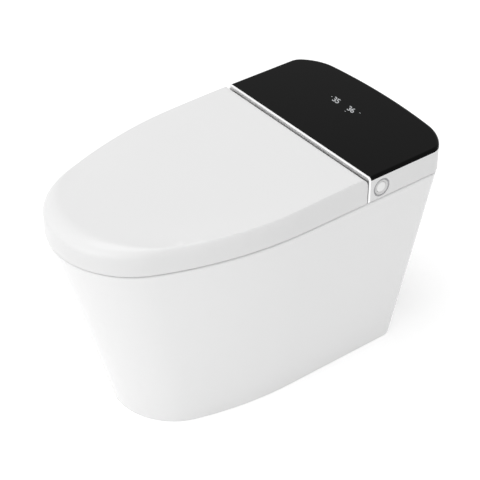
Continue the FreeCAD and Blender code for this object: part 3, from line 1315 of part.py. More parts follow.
def nozzle_cradle():
    """Channel that guides the wand, with cheeks for the pinion, flanges on the chassis and two feet."""
    half, wall = CRADLE_HALF_WIDTH, CRADLE_WALL
    inner = (wall - half, half - wall)
    outer = box((-half, half), (CRADLE_FRONT, CRADLE_LENGTH), (CRADLE_FLOOR, CRADLE_TOP))
    room = box(inner, (GUIDE_LENGTH, CRADLE_LENGTH + CUT_MARGIN),
               (CRADLE_FLOOR + wall, CRADLE_TOP - CRADLE_ROOF))
    guide = cylinder(WAND_RADIUS + RUNNING_CLEARANCE, Vector(0, 0, 0), Y_AXIS, GUIDE_LENGTH + CUT_MARGIN)
    slot_half = RACK_WIDTH / 2 + 0.5
    rack_slot = box((-slot_half, slot_half), (0, GUIDE_LENGTH + CUT_MARGIN),
                    (PITCH_LINE_Z - GEAR_ADDENDUM - 0.7, 0))
    window_half = PINION_RADIUS + GEAR_ADDENDUM + 1
    window = box(inner, (PINION_Y - window_half, PINION_Y + window_half),
                 (CRADLE_FLOOR - CUT_MARGIN, CRADLE_FLOOR + wall + CUT_MARGIN))
    cheek_low = PINION_Z - PINION_SHAFT_RADIUS - CRADLE_CHEEK_DROP
    cheeks = [box((low, low + wall), (PINION_Y - CRADLE_CHEEK_HALF, PINION_Y + CRADLE_CHEEK_HALF),
                  (cheek_low, CRADLE_FLOOR + CUT_MARGIN)) for low in (-half, half - wall)]
    shaft_bore = cylinder(PINION_SHAFT_RADIUS + RUNNING_CLEARANCE,
                          Vector(-half - CUT_MARGIN, PINION_Y, PINION_Z), X_AXIS, 2 * (half + CUT_MARGIN))
    cradle = place_nozzle(cut(fuse([outer] + cheeks), [room, guide, rack_slot, window, shaft_bore]))
    flange = box((half - CUT_MARGIN, half + CRADLE_FLANGE_WIDTH), behind_strip(CRADLE_FLANGE_BEHIND_STRIP),
                 (CHASSIS_TOP, CHASSIS_TOP + CRADLE_FLANGE_THICKNESS))
    foot = box((half - CHASSIS_SLOT_MARGIN - CRADLE_FOOT_WIDTH, half - CHASSIS_SLOT_MARGIN),
               (TRIM_FRONT_Y - CRADLE_FOOT_TO_STRIP[0], TRIM_FRONT_Y - CRADLE_FOOT_TO_STRIP[1]),
               (BAY_FLOOR, NOZZLE_TIP_Z - CRADLE_FOOT_DROP))
    passage = place_nozzle(fuse([guide, rack_slot, room]))
    return cut(fuse([cradle] + both_sides(flange) + both_sides(foot)), [passage])


def nozzle_motor():
    """Stepper motor on the cheek of the cradle."""
    body = cylinder(NOZZLE_MOTOR_RADIUS, Vector(CRADLE_HALF_WIDTH, PINION_Y, PINION_Z), X_AXIS,
                    NOZZLE_MOTOR_LENGTH)
    bore = cylinder(PINION_SHAFT_RADIUS + RUNNING_CLEARANCE,
                    Vector(CRADLE_HALF_WIDTH - CUT_MARGIN, PINION_Y, PINION_Z), X_AXIS,
                    CUT_MARGIN + NOZZLE_MOTOR_LENGTH / 2 + SEATING_GAP)
    return place_nozzle(cut(body, [bore]))


# Warm air dryer

def scroll_outline(offset, z):
    """Spiral of quarter arcs with a straight outlet towards the nose, and the outlet's two sides."""
    centre = Vector(FAN_X, FAN_Y, z)
    curves = []
    radius = SCROLL_RADIUS + offset
    angle = -math.pi / 2
    first = centre + Vector(math.cos(angle), math.sin(angle), 0) * radius
    for quarter in range(3):
        arc_points = [centre + Vector(math.cos(a), math.sin(a), 0) * radius
                      for a in (angle, angle + math.pi / 4, angle + math.pi / 2)]
        curves.append(Part.Arc(arc_points[0], arc_points[1], arc_points[2]))
        angle += math.pi / 2
        centre = centre - Vector(math.cos(angle), math.sin(angle), 0) * SCROLL_GROWTH
        radius += SCROLL_GROWTH
    last = arc_points[2]
    curves.append(Part.LineSegment(last, Vector(last.x, FAN_OUTLET_Y, z)))
    curves.append(Part.LineSegment(Vector(last.x, FAN_OUTLET_Y, z), Vector(first.x, FAN_OUTLET_Y, z)))
    curves.append(Part.LineSegment(Vector(first.x, FAN_OUTLET_Y, z), first))
    return chain(curves), (last.x, first.x)


def dryer_housing():
    """Scroll of the fan with its air inlet on top and its outlet to the duct."""
    low, high = CHASSIS_TOP, CHASSIS_TOP + FAN_HEIGHT
    outer, outlet_x = scroll_outline(0, low)
    inner, _ = scroll_outline(-FAN_WALL, low + FAN_WALL)
    body = prism(outer, Vector(0, 0, FAN_HEIGHT))
    room = prism(inner, Vector(0, 0, FAN_HEIGHT - 2 * FAN_WALL))
    outlet = box(shrunk(outlet_x, FAN_WALL), (FAN_OUTLET_Y - CUT_MARGIN, FAN_Y - SCROLL_RADIUS),
                 (low + FAN_WALL, high - FAN_WALL))
    through = FAN_WALL + 2 * CUT_MARGIN
    inlet = cylinder(FAN_INLET_RADIUS, Vector(FAN_X, FAN_Y, high - FAN_WALL - CUT_MARGIN), Z_AXIS, through)
    shaft_hole = cylinder(FAN_SHAFT_RADIUS + 1, Vector(FAN_X, FAN_Y, low - CUT_MARGIN), Z_AXIS, through)
    return cut(body, [room, outlet, inlet, shaft_hole])


def wheel_blade():
    """One curved blade of the fan wheel, between two arcs."""
    inner, outer = BLADE_INNER_RADIUS, WHEEL_RADIUS - BLADE_TIP_SETBACK
    middle = (inner + outer) / 2

    def spot(radius, lean, shift):
        angle = lean + shift / radius
        return Vector(radius * math.cos(angle), radius * math.sin(angle), WHEEL_LOW)
    stations = ((inner, 0.0), (middle, BLADE_LEAN * BLADE_CURVE), (outer, BLADE_LEAN))
    lead = [spot(radius, lean, BLADE_THICKNESS / 2) for radius, lean in stations]
    trail = [spot(radius, lean, -BLADE_THICKNESS / 2) for radius, lean in stations]
    outline = chain([Part.Arc(lead[0], lead[1], lead[2]), Part.LineSegment(lead[2], trail[2]),
                     Part.Arc(trail[2], trail[1], trail[0]), Part.LineSegment(trail[0], lead[0])])
    return prism(outline, Vector(0, 0, WHEEL_HEIGHT))


def dryer_wheel():
    """Squirrel cage wheel: hub disc, curved blades, top ring and shaft."""
    disc_low = WHEEL_LOW - WHEEL_DISC
    shaft_low = CHASSIS_TOP - FAN_SHAFT_DEPTH
    disc = cylinder(WHEEL_RADIUS, Vector(0, 0, disc_low), Z_AXIS, WHEEL_DISC)
    hub = cylinder(WHEEL_HUB_RADIUS, Vector(0, 0, disc_low), Z_AXIS, WHEEL_HUB_HEIGHT)
    ring = tube(WHEEL_RADIUS, WHEEL_RADIUS - WHEEL_RING_WIDTH, Vector(0, 0, WHEEL_LOW + WHEEL_HEIGHT),
                Z_AXIS, WHEEL_RING_THICKNESS)
    shaft = cylinder(FAN_SHAFT_RADIUS, Vector(0, 0, shaft_low), Z_AXIS, WHEEL_LOW - shaft_low)
    blades = []
    for index in range(BLADE_COUNT):
        blade = wheel_blade()
        blade.rotate(Vector(0, 0, 0), Z_AXIS, 360.0 * index / BLADE_COUNT)
        blades.append(blade)
    wheel = fuse([disc, hub, ring, shaft] + blades)
    wheel.translate(Vector(FAN_X, FAN_Y, 0))
    return wheel


def dryer_motor():
    """Motor under the chassis, held against the floor of the scroll."""
    body = cylinder(FAN_MOTOR_RADIUS, Vector(FAN_X, FAN_Y, CHASSIS_TOP - FAN_MOTOR_LENGTH), Z_AXIS,
                    FAN_MOTOR_LENGTH)
    depth = FAN_SHAFT_DEPTH + SEATING_GAP
    bore = cylinder(FAN_SHAFT_RADIUS + RUNNING_CLEARANCE, Vector(FAN_X, FAN_Y, CHASSIS_TOP - depth), Z_AXIS,
                    depth + CUT_MARGIN)
    return cut(body, [bore])


def duct_form(shrink):
    """Duct from the scroll down under the hinge bridge and forward to the bowl."""
    _, outlet_x = scroll_outline(0, CHASSIS_TOP)
    duct_x = shrunk((DUCT_LEFT_X, DUCT_RIGHT_X), shrink)
    sections = [
        (duct_x, DUCT_FRONT_Y, (DUCT_FRONT_LOW, DUCT_FRONT_LOW + DUCT_HEIGHT)),
        (duct_x, DUCT_KNEE_Y, (DUCT_KNEE_LOW, DUCT_KNEE_LOW + DUCT_HEIGHT)),
        (shrunk(outlet_x, shrink), FAN_OUTLET_Y, (CHASSIS_TOP, CHASSIS_TOP + FAN_HEIGHT))]
    return Part.makeLoft([rectangle_at_y(x, y, shrunk(z, shrink)) for x, y, z in sections], True, True)


def dryer_duct():
    """Duct with the two lugs that carry the flap."""
    lug_y = (FLAP_AXIS_Y - FLAP_BARREL_RADIUS - CUT_MARGIN, DUCT_FRONT_Y + FLAP_LUG_ROOT)
    lug_z = (FLAP_AXIS_Z - FLAP_LUG_DROP, FLAP_AXIS_Z + FLAP_BARREL_RADIUS)
    lugs = [box((DUCT_LEFT_X - FLAP_LUG_WIDTH, DUCT_LEFT_X), lug_y, lug_z),
            box((DUCT_RIGHT_X, DUCT_RIGHT_X + FLAP_LUG_WIDTH), lug_y, lug_z)]
    reach = FLAP_LUG_WIDTH + CUT_MARGIN
    bore = cylinder(FLAP_PIN_RADIUS + RUNNING_CLEARANCE,
                    Vector(DUCT_LEFT_X - reach, FLAP_AXIS_Y, FLAP_AXIS_Z), X_AXIS,
                    DUCT_RIGHT_X - DUCT_LEFT_X + 2 * reach)
    return cut(fuse([duct_form(0)] + lugs), [duct_form(DUCT_WALL), bore])


def dryer_flap():
    """Flap over the mouth of the duct, on two pins."""
    left, right = shrunk((DUCT_LEFT_X, DUCT_RIGHT_X), SEATING_GAP)
    barrel = cylinder(FLAP_BARREL_RADIUS, Vector(left, FLAP_AXIS_Y, FLAP_AXIS_Z), X_AXIS, right - left)
    pins = cylinder(FLAP_PIN_RADIUS, Vector(DUCT_LEFT_X - FLAP_LUG_WIDTH, FLAP_AXIS_Y, FLAP_AXIS_Z), X_AXIS,
                    DUCT_RIGHT_X - DUCT_LEFT_X + 2 * FLAP_LUG_WIDTH)
    back = DUCT_FRONT_Y - SEATING_GAP
    leaf = box((left, right), (back - FLAP_THICKNESS, back), (DUCT_FRONT_LOW, FLAP_AXIS_Z))
    return fuse([barrel, pins, leaf])


# Water side

def water_tank():
    """Blow-moulded tank with the port for the valve's spout."""
    high = WELL_FLOOR + TANK_HEIGHT
    outer = rounded_box(TANK_X, TANK_Y, (WELL_FLOOR, high), TANK_CORNER)
    inner = rounded_box(shrunk(TANK_X, TANK_WALL), shrunk(TANK_Y, TANK_WALL),
                        (WELL_FLOOR + TANK_WALL, high - TANK_WALL), TANK_CORNER - TANK_WALL)
    filler = cylinder(TANK_PORT_RADIUS,
                      Vector(TANK_X[1] - TANK_WALL - CUT_MARGIN, VALVE_Y, high - TANK_PORT_DROP),
                      X_AXIS, TANK_WALL + 2 * CUT_MARGIN)
    return cut(outer, [inner, filler])


def flush_pump():
    """Vertical pump: volute on the well floor, motor above, suction from the tank."""
    port_z = WELL_FLOOR + VOLUTE_HEIGHT / 2
    volute = cylinder(VOLUTE_RADIUS, Vector(PUMP_X, PUMP_Y, WELL_FLOOR), Z_AXIS, VOLUTE_HEIGHT)
    motor = cylinder(PUMP_RADIUS, Vector(PUMP_X, PUMP_Y, WELL_FLOOR), Z_AXIS, PUMP_HEIGHT)
    top = [e for e in motor.Edges if e.BoundBox.ZMin > WELL_FLOOR + PUMP_HEIGHT - 0.01]
    motor = motor.makeChamfer(PUMP_CHAMFER, top)
    suction = cylinder(PUMP_SUCTION_RADIUS, Vector(TANK_X[1], PUMP_Y, port_z), X_AXIS, PUMP_X - TANK_X[1])
    outlet = cylinder(HOSE_RADIUS + PUMP_OUTLET_WALL, Vector(PUMP_X, PUMP_Y, port_z), Y_AXIS * -1,
                      VOLUTE_RADIUS + PUMP_OUTLET_LENGTH)
    return fuse([volute, motor, suction, outlet])


def rim_hose():
    """Hose from the pump round under the nozzle to the rim port."""
    z = WELL_FLOOR + VOLUTE_HEIGHT / 2
    turn_y = (WELL_FRONT_Y + TANK_Y[0]) / 2
    points = [Vector(PUMP_X, PUMP_Y - VOLUTE_RADIUS - PUMP_OUTLET_LENGTH, z), Vector(PUMP_X, turn_y, z),
              Vector(RIM_PORT_X, turn_y, z), Vector(RIM_PORT_X, turn_y, RIM_PORT_Z),
              Vector(RIM_PORT_X, WELL_FRONT_Y - HOSE_TAIL, RIM_PORT_Z)]
    return hose(points, HOSE_BEND, HOSE_RADIUS, HOSE_BORE)


def inlet_valve():
    """Solenoid valve on a pedestal over the supply hole, with its spout into the tank."""
    base = WELL_FLOOR + VALVE_BASE_LIFT
    pedestal = tube(VALVE_RADIUS + VALVE_BASE_WIDTH, HOSE_RADIUS + SEATING_GAP,
                    Vector(VALVE_X, VALVE_Y, WELL_FLOOR), Z_AXIS, VALVE_BASE_LIFT)
    body = cylinder(VALVE_RADIUS, Vector(VALVE_X, VALVE_Y, base), Z_AXIS, VALVE_HEIGHT)
    coil = box((VALVE_X - COIL_HALF_WIDTH, VALVE_X + COIL_HALF_WIDTH),
               (VALVE_Y - COIL_HALF_WIDTH, VALVE_Y + COIL_HALF_WIDTH),
               (base + COIL_LIFT, base + COIL_LIFT + COIL_HEIGHT))
    spout_x = TANK_X[1] - TANK_WALL
    spout = cylinder(TANK_PORT_RADIUS - RUNNING_CLEARANCE,
                     Vector(spout_x, VALVE_Y, WELL_FLOOR + TANK_HEIGHT - TANK_PORT_DROP), X_AXIS,
                     VALVE_X - spout_x)
    return fuse([pedestal, body, coil, spout])


def supply_hose():
    """Hose from the water inlet up through the floor of the well to the valve."""
    points = [Vector(INLET_X, CONNECTION_START_Y, INLET_Z), Vector(INLET_X, VALVE_Y, INLET_Z),
              Vector(VALVE_X, VALVE_Y, INLET_Z), Vector(VALVE_X, VALVE_Y, WELL_FLOOR + VALVE_BASE_LIFT)]
    return hose(points, HOSE_BEND, HOSE_RADIUS, HOSE_BORE)


def water_inlet():
    """Threaded inlet with its hexagon, through the service bracket."""
    length = INLET_TAIL + BRACKET_THICKNESS + COLLAR_THICKNESS + INLET_THREAD_LENGTH
    start = Vector(INLET_X, CONNECTION_START_Y, INLET_Z)
    thread = tube(INLET_THREAD_RADIUS, HOSE_BORE, start, Y_AXIS, length)
    corners = [Vector(INLET_X + INLET_HEXAGON_RADIUS * math.cos(a), BRACKET_Y,
                      INLET_Z + INLET_HEXAGON_RADIUS * math.sin(a))
               for a in [math.pi / 3 * index for index in range(7)]]
    hexagon = prism(Part.makePolygon(corners), Vector(0, COLLAR_THICKNESS, 0))
    return fuse([thread, hexagon.cut(cylinder(HOSE_BORE, start, Y_AXIS, length))])


def power_gland():
    """Gland for the mains lead, through the service bracket."""
    length = INLET_TAIL + BRACKET_THICKNESS + GLAND_LENGTH
    barrel = tube(GLAND_RADIUS, GLAND_BORE_RADIUS, Vector(GLAND_X, CONNECTION_START_Y, INLET_Z), Y_AXIS,
                  length)
    collar = tube(GLAND_RADIUS + GLAND_COLLAR_WIDTH, GLAND_BORE_RADIUS, Vector(GLAND_X, BRACKET_Y, INLET_Z),
                  Y_AXIS, COLLAR_THICKNESS)
    return fuse([barrel, collar])


def service_bracket():
    """Angle plate under the well that holds the water inlet and the gland."""
    high = WELL_FLOOR - WELL_WALL
    front = BRACKET_Y - BRACKET_THICKNESS
    plate = box(BRACKET_X, (front, BRACKET_Y), (INLET_Z - BRACKET_BELOW_INLET, high))
    flange = box(BRACKET_X, (BRACKET_Y - BRACKET_FLANGE, BRACKET_Y), (high - BRACKET_THICKNESS, high))
    holes = [cylinder(radius + SEATING_GAP, Vector(x, front - CUT_MARGIN, INLET_Z), Y_AXIS,
                      BRACKET_THICKNESS + 2 * CUT_MARGIN)
             for radius, x in ((INLET_THREAD_RADIUS, INLET_X), (GLAND_RADIUS, GLAND_X))]
    return cut(fuse([plate, flange]), holes)


# Pieces on the chassis

def heater_tank():
    """Instant water heater with its port to the diverter."""
    high = CHASSIS_TOP + HEATER_HEIGHT
    left = HEATER_SIDE_SETBACK - HALF_WIDTH
    right = left + HEATER_WIDTH
    body = rounded_box((left, right), behind_strip(HEATER_BEHIND_STRIP), (CHASSIS_TOP, high), HEATER_CORNER)
    top = [e for e in body.Edges if e.BoundBox.ZMin > high - 0.01]
    body = body.makeChamfer(HEATER_EDGE, top)
    place = Vector(right, TRIM_FRONT_Y + DIVERTER_BEHIND_STRIP, CHASSIS_TOP + HEATER_PORT_LIFT)
    port = cylinder(HEATER_PORT_RADIUS, place, X_AXIS, DIVERTER_X - DIVERTER_RADIUS - SEATING_GAP - right)
    return fuse([body, port])


def diverter_valve():
    """Valve between the heater and the nozzle, with its motor cap."""
    place = Vector(DIVERTER_X, TRIM_FRONT_Y + DIVERTER_BEHIND_STRIP, CHASSIS_TOP)
    body = cylinder(DIVERTER_RADIUS, place, Z_AXIS, DIVERTER_HEIGHT)
    cap = cylinder(DIVERTER_RADIUS - DIVERTER_CAP_SETBACK, place, Z_AXIS,
                   DIVERTER_HEIGHT + DIVERTER_CAP_HEIGHT)
    return fuse([body, cap])


def power_supply():
    """Circuit board with transformer and capacitors."""
    left = SUPPLY_SIDE_SETBACK - HALF_WIDTH
    right = left + SUPPLY_WIDTH
    length = behind_strip(SUPPLY_BEHIND_STRIP)
    board = box((left, right), length, (CHASSIS_TOP, CHASSIS_TOP + SUPPLY_BOARD_THICKNESS))
    core = box((left + TRANSFORMER_MARGIN, left + TRANSFORMER_MARGIN + TRANSFORMER_WIDTH),
               shrunk(length, TRANSFORMER_MARGIN), (CHASSIS_TOP, CHASSIS_TOP + TRANSFORMER_HEIGHT))
    cans = [cylinder(CAPACITOR_RADIUS, Vector(right - CAPACITOR_MARGIN[0], y, CHASSIS_TOP), Z_AXIS,
                     CAPACITOR_HEIGHT) for y in shrunk(length, CAPACITOR_MARGIN[1])]
    return fuse([board, core] + cans)


def control_board():
    """Main board on four pillars, with its chips and sockets."""
    width = (BOARD_LEFT_SETBACK - HALF_WIDTH, HALF_WIDTH - BOARD_RIGHT_SETBACK)
    length = behind_strip(BOARD_BEHIND_STRIP)
    low = CHASSIS_TOP + BOARD_LIFT
    high = low + BOARD_THICKNESS
    board = box(width, length, (low, high))
    pillars = [cylinder(BOARD_PILLAR_RADIUS, Vector(x, y, CHASSIS_TOP), Z_AXIS, BOARD_LIFT)
               for x in shrunk(width, BOARD_PILLAR_MARGIN) for y in shrunk(length, BOARD_PILLAR_MARGIN)]
    chip_y = length[0] + CHIP_MARGIN
    chips = [box((width[0] + place, width[0] + place + CHIP_SIZE), (chip_y, chip_y + CHIP_SIZE),
                 (low, high + CHIP_HEIGHT)) for place in CHIP_PLACES]
    first, last = shrunk(width, SOCKET_MARGIN[0])
    pitch = (last - SOCKET_WIDTH - first) / (SOCKET_COUNT - 1)
    socket_back = length[1] - SOCKET_MARGIN[1]
    socket_y = (socket_back - SOCKET_DEPTH, socket_back)
    sockets = [box((x, x + SOCKET_WIDTH), socket_y, (low, high + SOCKET_HEIGHT))
               for x in [first + pitch * index for index in range(SOCKET_COUNT)]]
    return fuse([board] + pillars + chips + sockets)


def deodoriser():
    """Carbon cartridge with its grille of slots."""
    right = HALF_WIDTH - DEODORISER_SIDE_SETBACK
    left = right - DEODORISER_WIDTH
    length = behind_strip(DEODORISER_BEHIND_STRIP)
    high = CHASSIS_TOP + DEODORISER_HEIGHT
    body = rounded_box((left, right), length, (CHASSIS_TOP, high), DEODORISER_CORNER)
    first = left + GRILLE_MARGIN[0]
    slots = [box((x, x + GRILLE_SLOT_WIDTH), shrunk(length, GRILLE_MARGIN[1]),
                 (high - GRILLE_DEPTH, high + CUT_MARGIN))
             for x in [first + GRILLE_PITCH * index for index in range(GRILLE_SLOTS)]]
    return cut(body, slots)


SUB_PARTS = {
    "ceramic_body": ceramic_body,
    "ceramic_bowl": ceramic_bowl,
    "lid_shell": lid_shell,
    "lid_liner": lid_liner,
    "lid_bumpers": lid_bumpers,
    "lid_shaft": lambda: hinge_shaft(-1),
    "seat_top": seat_top,
    "seat_base": seat_base,
    "seat_heater": seat_heater,
    "seat_bumpers": seat_bumpers,
    "seat_shaft": lambda: hinge_shaft(1),
    "rear_housing": rear_housing,
    "top_panel": top_panel,
    "trim_strip": trim_strip,
    "housing_screws": housing_screws,
    "display_board": display_board,
    "approach_sensor": approach_sensor,
    "chassis_plate": chassis_plate,
    "chassis_bolts": chassis_bolts,
    "hinge_bridge": hinge_bridge,
    "lid_drive": lambda: hinge_drive(-1),
    "seat_drive": lambda: hinge_drive(1),
    "knob_bezel": knob_bezel,
    "knob_ring": knob_ring,
    "knob_button": knob_button,
    "knob_encoder": knob_encoder,
    "nozzle_wand": nozzle_wand,
    "nozzle_tip": nozzle_tip,
    "nozzle_pinion": nozzle_pinion,
    "nozzle_cradle": nozzle_cradle,
    "nozzle_motor": nozzle_motor,
    "dryer_housing": dryer_housing,
    "dryer_wheel": dryer_wheel,
    "dryer_motor": dryer_motor,
    "dryer_duct": dryer_duct,
    "dryer_flap": dryer_flap,
    "water_tank": water_tank,
    "flush_pump": flush_pump,
    "rim_hose": rim_hose,
    "inlet_valve": inlet_valve,
    "supply_hose": supply_hose,
    "water_inlet": water_inlet,
    "power_gland": power_gland,
    "service_bracket": service_bracket,
    "heater_tank": heater_tank,
    "diverter_valve": diverter_valve,
    "power_supply": power_supply,
    "control_board": control_board,
    "deodoriser": deodoriser,
}


def main():
    os.makedirs("parts", exist_ok=True)
    for name, make in SUB_PARTS.items():
        shape = make()
        shape.exportStep("parts/" + name + ".step")
        print(name, "valid" if shape.isValid() else "NOT VALID", len(shape.Solids), "solids",
              round(shape.Volume / 1000, 2), "cm3")


main()
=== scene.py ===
import json
import math

import bpy
from bpy.props import FloatProperty, FloatVectorProperty, PointerProperty, StringProperty
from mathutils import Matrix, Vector


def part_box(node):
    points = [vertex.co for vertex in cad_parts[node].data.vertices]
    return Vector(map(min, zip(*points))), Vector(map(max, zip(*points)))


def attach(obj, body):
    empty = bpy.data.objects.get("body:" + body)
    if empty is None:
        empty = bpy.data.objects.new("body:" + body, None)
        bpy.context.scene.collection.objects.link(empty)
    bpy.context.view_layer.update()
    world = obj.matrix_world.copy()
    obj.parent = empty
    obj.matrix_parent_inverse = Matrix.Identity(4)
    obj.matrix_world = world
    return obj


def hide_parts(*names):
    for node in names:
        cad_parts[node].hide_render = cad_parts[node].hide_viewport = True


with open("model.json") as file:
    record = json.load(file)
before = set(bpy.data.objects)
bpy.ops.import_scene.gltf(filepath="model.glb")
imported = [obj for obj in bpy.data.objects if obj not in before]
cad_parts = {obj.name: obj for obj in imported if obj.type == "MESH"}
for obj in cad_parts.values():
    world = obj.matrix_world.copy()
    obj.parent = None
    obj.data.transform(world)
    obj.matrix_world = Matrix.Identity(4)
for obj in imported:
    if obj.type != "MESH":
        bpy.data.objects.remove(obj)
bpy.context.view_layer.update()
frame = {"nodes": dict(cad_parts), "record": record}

bl_info = {
    "name": "Smart toilet with a heated seat",
    "version": (1, 0, 0),
    "blender": (4, 5, 0),
    "location": "View3D > Sidebar > Toilet",
    "description": "Dresses the packed toilet: glaze, mouldings, black glass, display, knob and fittings",
    "category": "Add Mesh",
}

# The knob stands on the right flank, the fittings on the bracket in the back opening
ALONG_X = Vector((1, 0, 0))
ALONG_Y = Vector((0, 1, 0))
KNOB_CENTRE = Vector((0.0, 0.177, 0.411))
INLET_CENTRE = Vector((0.060, 0.0, 0.190))
GLAND_CENTRE = Vector((-0.030, 0.0, 0.190))
BRACKET_FACE = 0.303

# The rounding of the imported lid, which the tighter edge starts from
LID_SHOULDER_DROP = 0.022
LID_SIDE_ROUNDING = 0.0123
LINER_CLEARANCE = 0.0002
UNDERSIDE_TILT = -0.02

# Where the numbers and the bars beside them lie on the glass, as x and y
SEAT_NUMBER_PLACE = (-0.0296, 0.2696)
WATER_NUMBER_PLACE = (0.0116, 0.2700)
BAR_PLACES = ((-0.0474, 0.2719), (0.0068, 0.2579), (0.0275, 0.2755))
BAR_SIZE = (0.0030, 0.0012, 0.00004)

CAMERA_TARGET = Vector((-0.004657, 0.025132, 0.245758))


# Sizes and colours that a user would change

def colour_property(name, description, default):
    return FloatVectorProperty(name=name, description=description, subtype="COLOR",
                               default=default, min=0.0, max=1.0)


class ToiletLook(bpy.types.PropertyGroup):
    """Colours of the finishes"""
    ceramic: colour_property("Ceramic", "Colour of the glazed body", (0.92, 0.92, 0.92))
    plastic: colour_property("White moulding", "Colour of the lid, seat and housing", (0.84, 0.84, 0.84))
    glass: colour_property("Black glass", "Colour of the rear panel", (0.003, 0.003, 0.003))
    metal: colour_property("Trim metal", "Colour of the strip", (0.96, 0.96, 0.96))
    digits: colour_property("Digits", "Colour of the lit numbers", (0.36, 0.37, 0.38))


class ToiletSizes(bpy.types.PropertyGroup):
    """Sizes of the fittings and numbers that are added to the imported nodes"""
    digit_height: FloatProperty(
        name="Digit height", description="Height of the lit numbers", default=0.0195,
        subtype="DISTANCE", unit="LENGTH")
    seat_number: StringProperty(
        name="Seat number", description="Number shown for the seat heat", default="35")
    water_number: StringProperty(
        name="Water number", description="Number shown for the water heat", default="36")
    thread_pitch: FloatProperty(
        name="Thread pitch", description="Distance between the ridges of the inlet thread",
        default=0.0018, subtype="DISTANCE", unit="LENGTH")
    collar_edge: FloatProperty(
        name="Collar edge", description="Width of the turned edges on the knob's collar and ring",
        default=0.0006, subtype="DISTANCE", unit="LENGTH")


class ToiletLid(bpy.types.PropertyGroup):
    """Form of the lid's top edge"""
    edge_growth: FloatProperty(
        name="Edge growth", description="How much nearer to the side the flat top comes",
        default=0.0073, subtype="DISTANCE", unit="LENGTH")
    edge_fall: FloatProperty(
        name="Edge fall", description="Fall of the side edges from the hinge to the middle of the lid",
        default=0.0068, subtype="DISTANCE", unit="LENGTH")
    crown_width: FloatProperty(
        name="Crown width", description="Width over which the top rises from its edge",
        default=0.075, subtype="DISTANCE", unit="LENGTH")


class ToiletStage(bpy.types.PropertyGroup):
    """Camera, floor and lamps"""
    azimuth: FloatProperty(
        name="Azimuth", description="Bearing of the camera round the toilet",
        default=math.radians(52.58), subtype="ANGLE")
    elevation: FloatProperty(
        name="Elevation", description="Height of the camera over the horizon",
        default=math.radians(36.37), subtype="ANGLE")
    distance: FloatProperty(
        name="Distance", description="Distance from the camera to its target",
        default=2.83903, subtype="DISTANCE", unit="LENGTH")
    lens: FloatProperty(
        name="Lens", description="Focal length of the camera on a sensor 36 mm wide",
        default=1551.55 / 480 * 36, subtype="DISTANCE_CAMERA")
    room: FloatProperty(
        name="Room", description="Strength of the light from the room", default=0.69)
    lean: FloatVectorProperty(
        name="Lean", description="Which way the room is brighter, and by how much",
        default=(0.10, -0.50, 0.10), subtype="DIRECTION")
    nose_lamp: FloatProperty(
        name="Nose lamp", description="Power of the large lamp ahead of the nose", default=5.0,
        subtype="POWER")
    top_lamp: FloatProperty(
        name="Top lamp", description="Power of the large lamp overhead", default=11.2,
        subtype="POWER")
    floor_glow: FloatProperty(
        name="Floor glow", description="Light that the floor shows to the camera and to mirrors",
        default=0.35)


# Node trees

FLOAT, COLOUR = "NodeSocketFloat", "NodeSocketColor"


def put(tree, kind, settings=None, values=None):
    """Adds a node with its settings and the values of its sockets."""
    node = tree.nodes.new(kind)
    for name, value in (settings or {}).items():
        setattr(node, name, value)
    for name, value in (values or {}).items():
        node.inputs[name].default_value = value
    return node


def calculate(tree, operation, first, second=None, third=None):
    """A Math node fed by sockets or plain numbers; gives its output."""
    node = put(tree, "ShaderNodeMath", {"operation": operation})
    for place, source in enumerate((first, second, third)):
        if source is None:
            continue
        if isinstance(source, (int, float)):
            node.inputs[place].default_value = source
        else:
            tree.links.new(source, node.inputs[place])
    return node.outputs[0]


def noise_at(tree, place, scale, detail=2.0):
    """A noise texture at a place, whose scale is a socket or a plain number."""
    node = put(tree, "ShaderNodeTexNoise", values={"Detail": detail})
    tree.links.new(place, node.inputs["Vector"])
    if isinstance(scale, (int, float)):
        node.inputs["Scale"].default_value = scale
    else:
        tree.links.new(scale, node.inputs["Scale"])
    return node.outputs["Fac"]


def object_place(tree, scale=(1.0, 1.0, 1.0), centre=(0.0, 0.0, 0.0)):
    """Object coordinates about a centre, stretched by a scale along each axis."""
    source = put(tree, "ShaderNodeTexCoord")
    moved = put(tree, "ShaderNodeMapping", values={
        "Location": [-place * factor for place, factor in zip(centre, scale)], "Scale": scale})
    tree.links.new(source.outputs["Object"], moved.inputs["Vector"])
    return moved.outputs["Vector"]


def group_tree(name, inputs, outputs):
    """An empty node group with its named sockets."""
    tree = bpy.data.node_groups.new(name, "ShaderNodeTree")
    for kind, label, default in inputs:
        socket = tree.interface.new_socket(name=label, in_out="INPUT", socket_type=kind)
        socket.default_value = default
    for kind, label in outputs:
        tree.interface.new_socket(name=label, in_out="OUTPUT", socket_type=kind)
    return tree, tree.nodes.new("NodeGroupInput"), tree.nodes.new("NodeGroupOutput")


